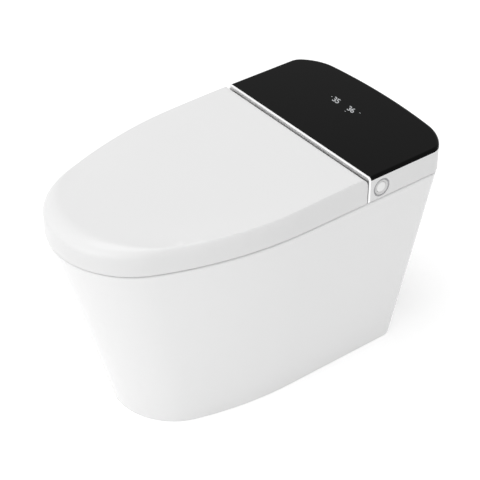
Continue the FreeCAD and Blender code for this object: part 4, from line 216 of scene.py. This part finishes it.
def make_drift_group():
    """Slow change of tone and roughness over a moulded, glazed or turned face."""
    tree, given, out = group_tree(
        "Tone drift",
        [(COLOUR, "Colour", (0.8, 0.8, 0.8, 1.0)), (FLOAT, "Tone change", 0.02),
         (FLOAT, "Roughness", 0.3), (FLOAT, "Roughness change", 0.05), (FLOAT, "Scale", 4.0)],
        [(COLOUR, "Colour"), (FLOAT, "Roughness")])
    place = put(tree, "ShaderNodeTexCoord").outputs["Object"]
    cloud = noise_at(tree, place, given.outputs["Scale"], 4.0)
    darker = calculate(tree, "MULTIPLY", cloud, given.outputs["Tone change"])
    kept = calculate(tree, "SUBTRACT", 1.0, darker)
    tone = put(tree, "ShaderNodeMix", {"data_type": "RGBA", "blend_type": "MULTIPLY"}, {"Factor": 1.0})
    tree.links.new(given.outputs["Colour"], tone.inputs["A"])
    tree.links.new(kept, tone.inputs["B"])
    tree.links.new(tone.outputs["Result"], out.inputs["Colour"])
    rough = calculate(tree, "MULTIPLY_ADD", cloud, given.outputs["Roughness change"],
                      given.outputs["Roughness"])
    tree.links.new(rough, out.inputs["Roughness"])


def make_glaze_group():
    """Slow ripple of a fired glaze with a few pinholes."""
    tree, given, out = group_tree(
        "Glaze ripple", [(FLOAT, "Ripple scale", 40.0), (FLOAT, "Pinholes", 0.15)],
        [(FLOAT, "Height")])
    place = put(tree, "ShaderNodeTexCoord").outputs["Object"]
    ripple = noise_at(tree, place, given.outputs["Ripple scale"], 1.0)
    cells = put(tree, "ShaderNodeTexVoronoi", values={"Scale": 160.0})
    tree.links.new(place, cells.inputs["Vector"])
    hole = calculate(tree, "LESS_THAN", cells.outputs["Distance"], 0.06)
    depth = calculate(tree, "MULTIPLY", hole, given.outputs["Pinholes"])
    tree.links.new(calculate(tree, "SUBTRACT", ripple, depth), out.inputs["Height"])


def make_grain_group():
    """Spark-eroded grain of a moulding, with the slow waviness of its wall."""
    tree, given, out = group_tree(
        "Moulded grain", [(FLOAT, "Grain scale", 1500.0), (FLOAT, "Waviness", 0.4)],
        [(FLOAT, "Height")])
    place = put(tree, "ShaderNodeTexCoord").outputs["Object"]
    grain = noise_at(tree, place, given.outputs["Grain scale"], 2.0)
    wave = noise_at(tree, place, 18.0, 0.0)
    tree.links.new(calculate(tree, "MULTIPLY_ADD", wave, given.outputs["Waviness"], grain),
                   out.inputs["Height"])


def make_brushed_group():
    """Fine lines that a brush leaves along X."""
    tree, given, out = group_tree("Brushed lines", [(FLOAT, "Line scale", 3000.0)],
                                  [(FLOAT, "Height")])
    place = object_place(tree, (0.01, 1.0, 1.0))
    lines = noise_at(tree, place, given.outputs["Line scale"], 2.0)
    tree.links.new(lines, out.inputs["Height"])


def make_turning_group():
    """Fine unevenness of turned metal."""
    tree, given, out = group_tree("Turning marks", [(FLOAT, "Mark scale", 2500.0)], [(FLOAT, "Height")])
    place = put(tree, "ShaderNodeTexCoord").outputs["Object"]
    fine = noise_at(tree, place, given.outputs["Mark scale"], 0.0)
    tree.links.new(fine, out.inputs["Height"])


def make_braid_group():
    """Crossing strands of a braided hose, with the shadow between them."""
    tree, given, out = group_tree("Crossed braid", [(FLOAT, "Strand scale", 180.0)],
                                  [(FLOAT, "Height"), (FLOAT, "Mask")])
    strands = []
    for turn in (1.0, -1.0):
        place = object_place(tree, (1.0, turn, turn))
        wave = put(tree, "ShaderNodeTexWave", {"bands_direction": "DIAGONAL"})
        tree.links.new(place, wave.inputs["Vector"])
        tree.links.new(given.outputs["Strand scale"], wave.inputs["Scale"])
        strands.append(wave.outputs["Fac"])
    over = calculate(tree, "MAXIMUM", strands[0], strands[1])
    tree.links.new(over, out.inputs["Height"])
    tree.links.new(over, out.inputs["Mask"])


def make_tracks_group():
    """Printed tracks and pads of a circuit board."""
    tree, given, out = group_tree("Printed tracks", [(FLOAT, "Track scale", 160.0)],
                                  [(FLOAT, "Mask"), (FLOAT, "Pads")])
    place = put(tree, "ShaderNodeTexCoord").outputs["Object"]
    bricks = put(tree, "ShaderNodeTexBrick", values={"Mortar Size": 0.06, "Mortar Smooth": 0.0})
    tree.links.new(place, bricks.inputs["Vector"])
    tree.links.new(given.outputs["Track scale"], bricks.inputs["Scale"])
    tree.links.new(bricks.outputs["Fac"], out.inputs["Mask"])
    cells = put(tree, "ShaderNodeTexVoronoi", values={"Scale": 220.0})
    tree.links.new(place, cells.inputs["Vector"])
    tree.links.new(calculate(tree, "LESS_THAN", cells.outputs["Distance"], 0.18), out.inputs["Pads"])


def make_groups():
    for make in (make_drift_group, make_glaze_group, make_grain_group, make_brushed_group,
                 make_turning_group, make_braid_group, make_tracks_group):
        make()


# Finishes

def use_group(tree, name, values=None):
    """Adds a node group by its name, with the values of its sockets."""
    node = put(tree, "ShaderNodeGroup")
    node.node_tree = bpy.data.node_groups[name]
    for label, value in (values or {}).items():
        node.inputs[label].default_value = value
    return node


def new_finish(name, colour, roughness, tone=0.02, change=0.05, scale=4.0, constants=None):
    """A Principled finish whose tone and roughness drift; gives it with its tree and shader."""
    material = bpy.data.materials.new(name)
    material.use_nodes = True
    tree = material.node_tree
    shader = tree.nodes["Principled BSDF"]
    drift = use_group(tree, "Tone drift", {
        "Colour": (*colour[:3], 1.0), "Tone change": tone, "Roughness": roughness,
        "Roughness change": change, "Scale": scale})
    tree.links.new(drift.outputs["Colour"], shader.inputs["Base Color"])
    tree.links.new(drift.outputs["Roughness"], shader.inputs["Roughness"])
    for label, value in (constants or {}).items():
        shader.inputs[label].default_value = value
    return material, tree, shader


def relief(tree, shader, height, strength, depth):
    """Bump from a height socket on the shader's normal."""
    bump = put(tree, "ShaderNodeBump", values={"Strength": strength, "Distance": depth})
    tree.links.new(height, bump.inputs["Height"])
    tree.links.new(bump.outputs["Normal"], shader.inputs["Normal"])


def tint_by(tree, shader, mask, colour):
    """Lays a second colour over the base where the mask is 1."""
    base = shader.inputs["Base Color"].links[0].from_socket
    mix = put(tree, "ShaderNodeMix", {"data_type": "RGBA"}, {"B": (*colour[:3], 1.0)})
    tree.links.new(mask, mix.inputs["Factor"])
    tree.links.new(base, mix.inputs["A"])
    tree.links.new(mix.outputs["Result"], shader.inputs["Base Color"])


def glazed(look):
    material, tree, shader = new_finish(
        "Glazed ceramic", look.ceramic, 0.10, tone=0.012, change=0.06, scale=5.0,
        constants={"Coat Weight": 0.35, "Coat Roughness": 0.04, "Specular IOR Level": 0.35})
    glaze = use_group(tree, "Glaze ripple")
    relief(tree, shader, glaze.outputs["Height"], 0.05, 0.0004)
    return material


def moulded(name, colour, roughness, coat=0.0, strength=0.04, grain=1500.0, tone=0.015):
    material, tree, shader = new_finish(
        name, colour, roughness, tone=tone, change=0.06, scale=7.0,
        constants={"Coat Weight": coat, "Coat Roughness": 0.08})
    grain = use_group(tree, "Moulded grain", {"Grain scale": grain})
    relief(tree, shader, grain.outputs["Height"], strength, 0.0002)
    return material


def black_glass(look):
    material, tree, shader = new_finish(
        "Black glass", look.glass, 0.06, tone=0.4, change=0.10, scale=3.0,
        constants={"Specular IOR Level": 0.04})
    grain = use_group(tree, "Moulded grain", {"Grain scale": 400.0, "Waviness": 1.0})
    relief(tree, shader, grain.outputs["Height"], 0.01, 0.0001)
    return material


def brushed(name, colour, roughness):
    material, tree, shader = new_finish(name, colour, roughness, tone=0.05, change=0.08, scale=20.0,
                                        constants={"Metallic": 1.0})
    lines = use_group(tree, "Brushed lines")
    relief(tree, shader, lines.outputs["Height"], 0.15, 0.0001)
    return material


def turned_metal(name, colour, roughness):
    material, tree, shader = new_finish(name, colour, roughness, tone=0.08, change=0.10, scale=60.0,
                                        constants={"Metallic": 1.0})
    marks = use_group(tree, "Turning marks")
    relief(tree, shader, marks.outputs["Height"], 0.10, 0.0001)
    return material


def braided():
    material, tree, shader = new_finish("Braided hose", (0.30, 0.30, 0.31), 0.35, tone=0.1, scale=40.0,
                                        constants={"Metallic": 0.6})
    braid = use_group(tree, "Crossed braid")
    shade = calculate(tree, "SUBTRACT", 1.0, braid.outputs["Mask"])
    tint_by(tree, shader, shade, (0.02, 0.02, 0.02))
    relief(tree, shader, braid.outputs["Height"], 0.5, 0.0004)
    return material


def printed_board():
    material, tree, shader = new_finish("Circuit board", (0.008, 0.075, 0.03), 0.35, tone=0.3, scale=60.0)
    tracks = use_group(tree, "Printed tracks")
    tint_by(tree, shader, tracks.outputs["Mask"], (0.015, 0.14, 0.055))
    tint_by(tree, shader, tracks.outputs["Pads"], (0.55, 0.50, 0.40))
    relief(tree, shader, tracks.outputs["Mask"], 0.2, 0.0002)
    return material


def heating_foil():
    material, tree, shader = new_finish("Heating foil", (0.60, 0.60, 0.58), 0.30, tone=0.1, scale=30.0,
                                        constants={"Metallic": 0.7})
    wave = put(tree, "ShaderNodeTexWave", values={"Scale": 45.0, "Distortion": 1.5})
    tree.links.new(object_place(tree), wave.inputs["Vector"])
    wire = calculate(tree, "GREATER_THAN", wave.outputs["Fac"], 0.82)
    tint_by(tree, shader, wire, (0.45, 0.16, 0.04))
    relief(tree, shader, wire, 0.3, 0.0004)
    return material


def make_finishes(look):
    """One material for each material slot of the record, and two more for the knob: a darker and a
    lighter copy of the white moulding, which paint shade on the ring and light on the button.
    """
    return {
        "ceramic": glazed(look),
        "white_plastic": moulded("White moulding", look.plastic, 0.26, coat=0.25),
        # A darker copy of the white moulding for the dial ring, which paints shade onto the ring.
        "knob": moulded("Knob moulding with painted shade", (0.74, 0.74, 0.74), 0.30, coat=0.25),
        # A lighter, glossier copy of the white moulding for the button, which paints light onto its dome.
        "button": moulded("Button moulding with painted light", (0.96, 0.96, 0.96), 0.16, coat=0.6),
        "white_matte": moulded("Satin moulding", look.plastic, 0.42, strength=0.10),
        "black_glass": black_glass(look),
        "trim_metal": brushed("Brushed strip", look.metal, 0.38),
        "chrome": turned_metal("Turned collar", (0.34, 0.34, 0.35), 0.22),
        "steel": turned_metal("Plain steel", (0.55, 0.56, 0.58), 0.30),
        "rubber": moulded("Grey rubber", (0.34, 0.34, 0.35), 0.65, strength=0.2, grain=900.0),
        "grey_plastic": moulded("Grey moulding", (0.11, 0.115, 0.125), 0.46, strength=0.15),
        "black_plastic": moulded("Black moulding", (0.018, 0.018, 0.019), 0.42, strength=0.15),
        "board": printed_board(),
        "foil": heating_foil(),
        "brass": turned_metal("Turned brass", (0.62, 0.43, 0.15), 0.24),
        "hose": braided(),
    }


def give(material, *names):
    for name in names:
        slots = frame["nodes"][name].data.materials
        slots.clear()
        slots.append(material)


def dress_nodes(look):
    finishes = make_finishes(look)
    for row in frame["record"]["subparts"]:
        give(finishes[row["material_slot"]], row["node"])


FINISH_OF_SLOT = {
    "white_plastic": "White moulding", "chrome": "Turned collar", "brass": "Turned brass",
    "black_plastic": "Black moulding",
}


def settle(piece, slot, body, *replaced, finish=None):
    """Gives a piece its finish, hangs it on the body it rides on and hides the nodes it stands for.

    Without a finish of its own it gets the one of its slot.
    """
    piece.data.materials.clear()
    piece.data.materials.append(bpy.data.materials[finish or FINISH_OF_SLOT[slot]])
    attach(piece, body)
    if replaced:
        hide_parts(*replaced)


# Modelling

def apply_place(piece):
    bpy.ops.object.transform_apply(location=True, rotation=True, scale=True)
    return piece


def select_only(piece, faces):
    """Selects these faces, in object mode, and nothing else of the piece."""
    bpy.context.tool_settings.mesh_select_mode = (False, False, True)
    for part in (*piece.data.vertices, *piece.data.edges, *piece.data.polygons):
        part.select = False
    for face in faces:
        face.select = True


def finish_turning(piece, smooth_angle):
    """Turns the faces outwards, leaves edit mode and shades all but the sharp edges smooth."""
    bpy.ops.mesh.select_all(action="SELECT")
    bpy.ops.mesh.normals_make_consistent(inside=False)
    bpy.ops.object.mode_set(mode="OBJECT")
    bpy.ops.object.shade_smooth_by_angle(angle=math.radians(smooth_angle))
    return piece


def draw_out(name, centre, direction, stations, sides):
    """A disc drawn out along a direction through stations of distance and radius, left in edit mode."""
    bpy.ops.object.select_all(action="DESELECT")
    distance, radius = stations[0]
    bpy.ops.mesh.primitive_circle_add(
        vertices=sides, radius=radius, fill_type="NGON", location=centre + direction * distance,
        rotation=direction.to_track_quat("Z", "Y").to_euler())
    piece = apply_place(bpy.context.object)
    piece.name = name
    bpy.ops.object.mode_set(mode="EDIT")
    bpy.ops.mesh.select_all(action="SELECT")
    for next_distance, next_radius in stations[1:]:
        bpy.ops.mesh.extrude_region_move(
            TRANSFORM_OT_translate={"value": direction * (next_distance - distance)})
        bpy.ops.transform.resize(value=(next_radius / radius,) * 3,
                                 center_override=centre + direction * next_distance)
        distance, radius = next_distance, next_radius
    return piece


def turned(name, centre, direction, stations, sides=96, smooth_angle=30):
    """A solid turned piece."""
    piece = draw_out(name, centre, direction, stations, sides)
    return finish_turning(piece, smooth_angle)


def turned_ring(name, centre, direction, stations, sides=96, smooth_angle=30):
    """A turned piece that is open through its middle: the first and last discs are joined."""
    piece = draw_out(name, centre, direction, stations, sides)
    bpy.ops.object.mode_set(mode="OBJECT")
    discs = sorted(piece.data.polygons, key=lambda face: -len(face.vertices))[:2]
    select_only(piece, discs)
    bpy.ops.object.mode_set(mode="EDIT")
    bpy.ops.mesh.delete(type="ONLY_FACE")
    bpy.ops.mesh.select_mode(type="EDGE")
    bpy.ops.mesh.select_all(action="DESELECT")
    bpy.ops.mesh.select_non_manifold()
    bpy.ops.mesh.bridge_edge_loops()
    return finish_turning(piece, smooth_angle)


def join_pieces(name, pieces):
    bpy.ops.object.select_all(action="DESELECT")
    for piece in pieces:
        piece.select_set(True)
    bpy.context.view_layer.objects.active = pieces[0]
    bpy.ops.object.join()
    pieces[0].name = name
    return pieces[0]


# Lid

def smooth_step(value, start, end):
    """0 before the start, 1 after the end, and a smooth rise between."""
    part = min(max((value - start) / (end - start), 0.0), 1.0)
    return part * part * (3.0 - 2.0 * part)


def merged_copy(node, name):
    """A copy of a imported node's mesh as an object of its own, with its corners merged."""
    piece = bpy.data.objects.new(name, frame["nodes"][node].data.copy())
    bpy.context.scene.collection.objects.link(piece)
    bpy.ops.object.select_all(action="DESELECT")
    piece.select_set(True)
    bpy.context.view_layer.objects.active = piece
    bpy.ops.mesh.customdata_custom_splitnormals_clear()
    bpy.ops.object.mode_set(mode="EDIT")
    bpy.ops.mesh.select_all(action="SELECT")
    bpy.ops.mesh.remove_doubles(threshold=0.00001)
    bpy.ops.object.mode_set(mode="OBJECT")
    return piece


def slice_along(direction, stations):
    """Adds a row of points to the active piece where each plane across the direction meets it."""
    bpy.ops.object.mode_set(mode="EDIT")
    for station in stations:
        bpy.ops.mesh.select_all(action="SELECT")
        bpy.ops.mesh.bisect(plane_co=direction * station, plane_no=direction)
    bpy.ops.object.mode_set(mode="OBJECT")


def half_width_table(node, low_z):
    """Half width of a node's wall near its lower edge, as (y, x) pairs from nose to back."""
    widest = {}
    for vertex in frame["nodes"][node].data.vertices:
        if vertex.co.z < low_z:
            row = round(vertex.co.y, 3)
            widest[row] = max(widest.get(row, 0.0), abs(vertex.co.x))
    rows = sorted(widest.items())
    outer = [rows[0]]
    for row in rows[1:]:
        if row[1] >= outer[-1][1] - 0.0005:
            outer.append(row)
    return outer


def between(table, place):
    """Value of a table of pairs at a place, along straight lines."""
    if place <= table[0][0]:
        return table[0][1]
    for (start, first), (end, second) in zip(table, table[1:]):
        if place <= end:
            return first + (second - first) * (place - start) / (end - start)
    return table[-1][1]


def make_lid(lid):
    """Lid moulding with a tight side edge, which falls towards the nose.

    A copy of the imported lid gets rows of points. Each point then moves by how far it is from
    the side wall, from the hinge and from the shoulder. The underside stays above the liner.
    """
    low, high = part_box("lid_shell")
    shoulder = high.z - LID_SHOULDER_DROP
    widths = half_width_table("lid_shell", low.z + 0.001)
    piece = merged_copy("lid_shell", "lid_cover")
    slice_along(ALONG_Y, [-0.34 + 0.02 * step for step in range(24)])
    rows = (0.05, 0.08, 0.10, 0.12, 0.135, 0.15, 0.16, 0.17, 0.178, 0.185)
    slice_along(ALONG_X, [side * x for side in (-1, 1) for x in rows])
    liner_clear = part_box("lid_liner")[1].z + LINER_CLEARANCE
    underside = [vertex.normal.z < UNDERSIDE_TILT for vertex in piece.data.vertices]
    for vertex in piece.data.vertices:
        x, y, z = vertex.co
        edge = between(widths, y) - abs(x)
        rise = min(max((z - shoulder) / LID_SHOULDER_DROP, 0.0), 1.0)
        narrowed = 1.0 - math.sqrt(1.0 - rise * rise)
        near_side = 1.0 - smooth_step(edge, 0.016, lid.crown_width)
        packed_half_width = high.x - LID_SIDE_ROUNDING * narrowed
        vertex.co.x += x * lid.edge_growth * narrowed * near_side / packed_half_width
        along = smooth_step(high.y - y, 0.0, 0.32) * (1.0 - smooth_step(-y, 0.20, 0.33))
        crowned = 1.0 - smooth_step(edge, 0.004, lid.crown_width)
        above = smooth_step(z, shoulder - 0.016, shoulder + 0.004)
        fallen = z - lid.edge_fall * along * crowned * above
        vertex.co.z = max(fallen, min(z, liner_clear)) if underside[vertex.index] else fallen
    bpy.ops.object.shade_smooth_by_angle(angle=math.radians(35))
    settle(piece, "white_plastic", "lid", "lid_shell")


# Knob on the right flank

def make_knob(sizes):
    """Collar, turning ring and domed button."""
    edge = sizes.collar_edge
    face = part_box("knob_ring")[1].x
    collar = turned_ring("knob_collar", KNOB_CENTRE, ALONG_X, [
        (face - 0.005, 0.0154), (face - 0.005, 0.0200), (face - 0.003, 0.0200),
        (face - 0.003, 0.0180), (face - edge, 0.0180), (face - 0.3 * edge, 0.0180 - 0.3 * edge),
        (face, 0.0180 - edge), (face, 0.0158), (face - 0.0004, 0.0154)])
    settle(collar, "chrome", "toilet", "knob_bezel")
    ring = turned("knob_dial_ring", KNOB_CENTRE, ALONG_X, [
        (face - 0.020, 0.0060), (face - 0.008, 0.0060), (face - 0.008, 0.0150),
        (face - edge, 0.0150), (face - 0.3 * edge, 0.0150 - 0.3 * edge), (face, 0.0150 - edge),
        (face - 0.0008, 0.0134), (face - 0.0014, 0.0122), (face - 0.0012, 0.0112),
        (face - 0.0010, 0.0108), (face - 0.0014, 0.0105), (face - 0.006, 0.0105),
        (face - 0.006, 0.00255), (face - 0.0197, 0.00255)])
    # The dial ring takes the darker copy of the white moulding, which paints shade onto it.
    settle(ring, "white_plastic", "knob_dial", "knob_ring", finish="Knob moulding with painted shade")
    button = turned("knob_push_button", KNOB_CENTRE, ALONG_X, [
        (face - 0.012, 0.0025), (face - 0.0036, 0.0025), (face - 0.0036, 0.0100),
        (face - 0.0018, 0.0101), (face - 0.0010, 0.0099), (face - 0.0006, 0.0094),
        (face - 0.0004, 0.0080), (face - 0.0002, 0.0062), (face - 0.00006, 0.0036),
        (face, 0.0012)])
    # The button takes the lighter copy of the white moulding, which paints light onto it.
    settle(button, "white_plastic", "knob_push", "knob_button", finish="Button moulding with painted light")


# Fittings in the back opening

def thread_stations(start, end, radius, pitch):
    """Ridges between two distances, each rising and falling within one pitch."""
    stations = []
    for turn in range(int((end - start) / pitch)):
        base = start + turn * pitch
        stations += [(base, radius - 0.45 * pitch), (base + 0.38 * pitch, radius),
                     (base + 0.55 * pitch, radius), (base + 0.93 * pitch, radius - 0.45 * pitch)]
    return stations


def make_inlet(sizes):
    """Threaded water inlet with its hexagon."""
    radius, bore = 0.010475, 0.0065
    back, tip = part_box("water_inlet")[0].y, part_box("water_inlet")[1].y
    bracket = BRACKET_FACE
    thread = thread_stations(bracket + 0.006, tip - 0.0012, radius, sizes.thread_pitch)
    spout = turned_ring("inlet_spout", INLET_CENTRE, ALONG_Y, [
        (back, bore), (back, 0.0095), (back + 0.001, radius), (bracket + 0.005, radius)] + thread
        + [(tip - 0.0006, radius - 0.0009), (tip, radius - 0.0016), (tip, bore + 0.0008),
           (tip - 0.0008, bore)], sides=64)
    hexagon = turned_ring("inlet_nut", INLET_CENTRE, ALONG_Y, [
        (bracket, radius - 0.0004), (bracket, 0.0132), (bracket + 0.0006, 0.0140),
        (bracket + 0.0044, 0.0140), (bracket + 0.005, 0.0132), (bracket + 0.005, radius - 0.0004)],
        sides=6, smooth_angle=20)
    fitting = join_pieces("water_inlet_fitting", [spout, hexagon])
    settle(fitting, "brass", "toilet", "water_inlet")


def make_gland():
    """Cable gland: ribbed collar, dome and the lip of its seal."""
    back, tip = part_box("power_gland")[0].y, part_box("power_gland")[1].y
    bracket, bore, rib_radius = BRACKET_FACE, 0.004, 0.012446
    body = turned_ring("gland_body", GLAND_CENTRE, ALONG_Y, [
        (back, bore), (back, 0.0084), (back + 0.0006, 0.0090), (bracket, 0.0090),
        (bracket, 0.0126), (bracket + 0.0005, 0.0130), (bracket + 0.0045, 0.0130),
        (bracket + 0.005, 0.0125), (bracket + 0.005, 0.0094), (tip - 0.0055, 0.0090),
        (tip - 0.0028, 0.0082), (tip - 0.0010, 0.0066), (tip - 0.0004, 0.0056),
        (tip - 0.0004, 0.0052), (tip - 0.0012, 0.0050), (tip - 0.0012, 0.0046), (tip, 0.0044),
        (tip, bore)], sides=72)
    ribs = []
    for index in range(12):
        angle = math.tau * index / 12
        bpy.ops.object.select_all(action="DESELECT")
        bpy.ops.mesh.primitive_cube_add(
            size=1.0, scale=(0.0018, 0.0040, 0.0014), rotation=(0.0, -angle, 0.0),
            location=(GLAND_CENTRE.x + rib_radius * math.cos(angle), bracket + 0.0025,
                      GLAND_CENTRE.z + rib_radius * math.sin(angle)))
        rib = apply_place(bpy.context.object)
        bpy.ops.object.mode_set(mode="EDIT")
        bpy.ops.mesh.select_all(action="SELECT")
        bpy.ops.mesh.bevel(offset=0.0003, segments=2, affect="EDGES")
        bpy.ops.object.mode_set(mode="OBJECT")
        ribs.append(rib)
    fitting = join_pieces("power_gland_fitting", [body] + ribs)
    settle(fitting, "black_plastic", "toilet", "power_gland")


# Display

def lit_finish(look):
    """Finish of the lit numbers, which glow in their own drifting tone."""
    material, tree, shader = new_finish("Lit digits", look.digits, 0.4, tone=0.2, scale=300.0,
                                        constants={"Emission Strength": 0.4})
    drift = shader.inputs["Base Color"].links[0].from_socket
    tree.links.new(drift, shader.inputs["Emission Color"])
    return material


def lit_number(text, x, y, height, material):
    """A number that lies on the glass, slanted and with thickened strokes."""
    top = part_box("top_panel")[1].z
    bpy.ops.object.select_all(action="DESELECT")
    bpy.ops.object.text_add(location=(x, y, top))
    number = bpy.context.object
    number.data.body = text
    number.data.size = height
    number.data.align_x = "CENTER"
    number.data.align_y = "CENTER"
    number.data.extrude = 0.00002
    number.data.shear = -0.45
    number.data.offset = 0.00025
    number.data.space_character = 0.88
    number.data.resolution_u = 4
    bpy.ops.object.convert(target="MESH")
    apply_place(bpy.context.object)
    number = bpy.context.object
    number.name = "display_number_" + text
    number.data.materials.clear()
    number.data.materials.append(material)
    return number


def small_light(name, x, y, material):
    """A short lit bar beside the numbers."""
    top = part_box("top_panel")[1].z
    bpy.ops.object.select_all(action="DESELECT")
    bpy.ops.mesh.primitive_cube_add(size=1.0, scale=BAR_SIZE, location=(x, y, top))
    light = apply_place(bpy.context.object)
    light.name = name
    light.data.materials.append(material)
    return light


def make_display(look, sizes):
    """Two lit numbers on the glass and three short bars beside them."""
    material = lit_finish(look)
    for text, (x, y) in ((sizes.seat_number, SEAT_NUMBER_PLACE),
                         (sizes.water_number, WATER_NUMBER_PLACE)):
        number = lit_number(text, x, y, sizes.digit_height, material)
        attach(number, "toilet")
    for index, (x, y) in enumerate(BAR_PLACES):
        light = small_light("display_light_" + str(index), x, y, material)
        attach(light, "toilet")


# Stage

def make_camera(stage):
    azimuth, elevation = stage.azimuth, stage.elevation
    back = Vector((math.sin(azimuth) * math.cos(elevation), -math.cos(azimuth) * math.cos(elevation),
                   math.sin(elevation)))
    data = bpy.data.cameras.new("camera")
    data.sensor_width = 36.0
    data.sensor_fit = "HORIZONTAL"
    data.lens = stage.lens
    data.clip_end = 50.0
    camera = bpy.data.objects.new("camera", data)
    bpy.context.scene.collection.objects.link(camera)
    camera.location = CAMERA_TARGET + back * stage.distance
    camera.rotation_euler = back.to_track_quat("Z", "Y").to_euler()
    bpy.context.scene.camera = camera


def seen_plainly(tree):
    """1 for camera rays and for rays in mirrors and glass, 0 for light that falls on things."""
    path = put(tree, "ShaderNodeLightPath")
    plain = calculate(tree, "MAXIMUM", path.outputs["Is Camera Ray"], path.outputs["Is Glossy Ray"])
    return calculate(tree, "MAXIMUM", plain, path.outputs["Is Transmission Ray"])


def make_world(stage):
    """A white room whose light leans one way; cameras and mirrors see it plain white."""
    world = bpy.data.worlds.new("studio")
    world.use_nodes = True
    bpy.context.scene.world = world
    tree = world.node_tree
    room = tree.nodes["Background"]
    room.inputs["Color"].default_value = (1.0, 1.0, 1.0, 1.0)
    direction = put(tree, "ShaderNodeTexCoord").outputs["Generated"]
    toward = put(tree, "ShaderNodeVectorMath", {"operation": "DOT_PRODUCT"})
    toward.inputs[1].default_value = stage.lean
    tree.links.new(direction, toward.inputs[0])
    level = calculate(tree, "ADD", toward.outputs["Value"], 1.0)
    tree.links.new(calculate(tree, "MULTIPLY", level, stage.room), room.inputs["Strength"])
    white = put(tree, "ShaderNodeBackground", values={"Color": (1.0, 1.0, 1.0, 1.0), "Strength": 1.0})
    mix = put(tree, "ShaderNodeMixShader")
    tree.links.new(seen_plainly(tree), mix.inputs[0])
    tree.links.new(room.outputs[0], mix.inputs[1])
    tree.links.new(white.outputs[0], mix.inputs[2])
    tree.links.new(mix.outputs[0], tree.nodes["World Output"].inputs["Surface"])


def make_floor(stage):
    """A pale floor that glows to the camera and keeps the toilet's shadow."""
    bpy.ops.object.select_all(action="DESELECT")
    bpy.ops.mesh.primitive_plane_add(size=12.0, location=(0.0, 0.0, -0.0002))
    floor = bpy.context.object
    floor.name = "floor"
    material, tree, shader = new_finish("Pale floor", (0.92, 0.92, 0.92), 0.85, tone=0.01, scale=1.5,
                                        constants={"Emission Color": (1.0, 1.0, 1.0, 1.0)})
    glow = calculate(tree, "MULTIPLY", seen_plainly(tree), stage.floor_glow)
    tree.links.new(glow, shader.inputs["Emission Strength"])
    floor.data.materials.append(material)


def add_lamp(name, place, target, size, power):
    """A round soft lamp that faces its target and stays out of the picture."""
    data = bpy.data.lights.new(name, "AREA")
    data.shape = "DISK"
    data.size = size
    data.energy = power
    lamp = bpy.data.objects.new(name, data)
    bpy.context.scene.collection.objects.link(lamp)
    lamp.location = place
    aim = Vector(target) - Vector(place)
    lamp.rotation_euler = aim.to_track_quat("-Z", "Y").to_euler()
    lamp.visible_camera = False


def make_stage(stage):
    bpy.context.scene.view_settings.view_transform = "Standard"
    make_groups()
    make_camera(stage)
    make_world(stage)
    make_floor(stage)
    add_lamp("nose_lamp", (0.25, -2.3, 1.35), (0.0, -0.1, 0.25), 1.8, stage.nose_lamp)
    add_lamp("top_lamp", (-0.3, -0.2, 2.6), (0.0, 0.0, 0.3), 2.0, stage.top_lamp)


# Operators

class TOILET_OT_stage(bpy.types.Operator):
    """Add the camera, the floor and the lamps"""
    bl_idname = "toilet.stage"
    bl_label = "Stage"

    def execute(self, context):
        make_stage(context.scene.toilet_stage)
        return {"FINISHED"}


class TOILET_OT_finishes(bpy.types.Operator):
    """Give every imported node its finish"""
    bl_idname = "toilet.finishes"
    bl_label = "Finishes"

    def execute(self, context):
        dress_nodes(context.scene.toilet_look)
        return {"FINISHED"}


class TOILET_OT_lid(bpy.types.Operator):
    """Model the lid moulding"""
    bl_idname = "toilet.lid"
    bl_label = "Lid"

    def execute(self, context):
        make_lid(context.scene.toilet_lid)
        return {"FINISHED"}


class TOILET_OT_knob(bpy.types.Operator):
    """Model the knob's collar, ring and button"""
    bl_idname = "toilet.knob"
    bl_label = "Knob"

    def execute(self, context):
        make_knob(context.scene.toilet_sizes)
        return {"FINISHED"}


class TOILET_OT_fittings(bpy.types.Operator):
    """Model the water inlet and the cable gland"""
    bl_idname = "toilet.fittings"
    bl_label = "Fittings"

    def execute(self, context):
        make_inlet(context.scene.toilet_sizes)
        make_gland()
        return {"FINISHED"}


class TOILET_OT_display(bpy.types.Operator):
    """Add the lit numbers of the display"""
    bl_idname = "toilet.display"
    bl_label = "Display"

    def execute(self, context):
        make_display(context.scene.toilet_look, context.scene.toilet_sizes)
        return {"FINISHED"}


class TOILET_PT_panel(bpy.types.Panel):
    """Pieces and finishes of the toilet"""
    bl_idname = "TOILET_PT_panel"
    bl_label = "Toilet"
    bl_space_type = "VIEW_3D"
    bl_region_type = "UI"
    bl_category = "Toilet"

    def draw(self, context):
        scene = context.scene
        for group in (scene.toilet_look, scene.toilet_sizes, scene.toilet_lid, scene.toilet_stage):
            for name in group.__annotations__:
                self.layout.prop(group, name)
        for operator in OPERATORS:
            self.layout.operator(operator.bl_idname)


OPERATORS = (TOILET_OT_stage, TOILET_OT_finishes, TOILET_OT_lid, TOILET_OT_knob, TOILET_OT_fittings,
             TOILET_OT_display)
CLASSES = (ToiletLook, ToiletSizes, ToiletLid, ToiletStage, *OPERATORS, TOILET_PT_panel)


def register():
    for cls in CLASSES:
        bpy.utils.register_class(cls)
    bpy.types.Scene.toilet_look = PointerProperty(type=ToiletLook)
    bpy.types.Scene.toilet_sizes = PointerProperty(type=ToiletSizes)
    bpy.types.Scene.toilet_lid = PointerProperty(type=ToiletLid)
    bpy.types.Scene.toilet_stage = PointerProperty(type=ToiletStage)


def unregister():
    del bpy.types.Scene.toilet_stage
    del bpy.types.Scene.toilet_lid
    del bpy.types.Scene.toilet_sizes
    del bpy.types.Scene.toilet_look
    for cls in reversed(CLASSES):
        bpy.utils.unregister_class(cls)


def main():
    register()
    bpy.ops.toilet.stage()
    bpy.ops.toilet.finishes()
    bpy.ops.toilet.lid()
    bpy.ops.toilet.knob()
    bpy.ops.toilet.fittings()
    bpy.ops.toilet.display()


if __name__ == "__main__":
    main()
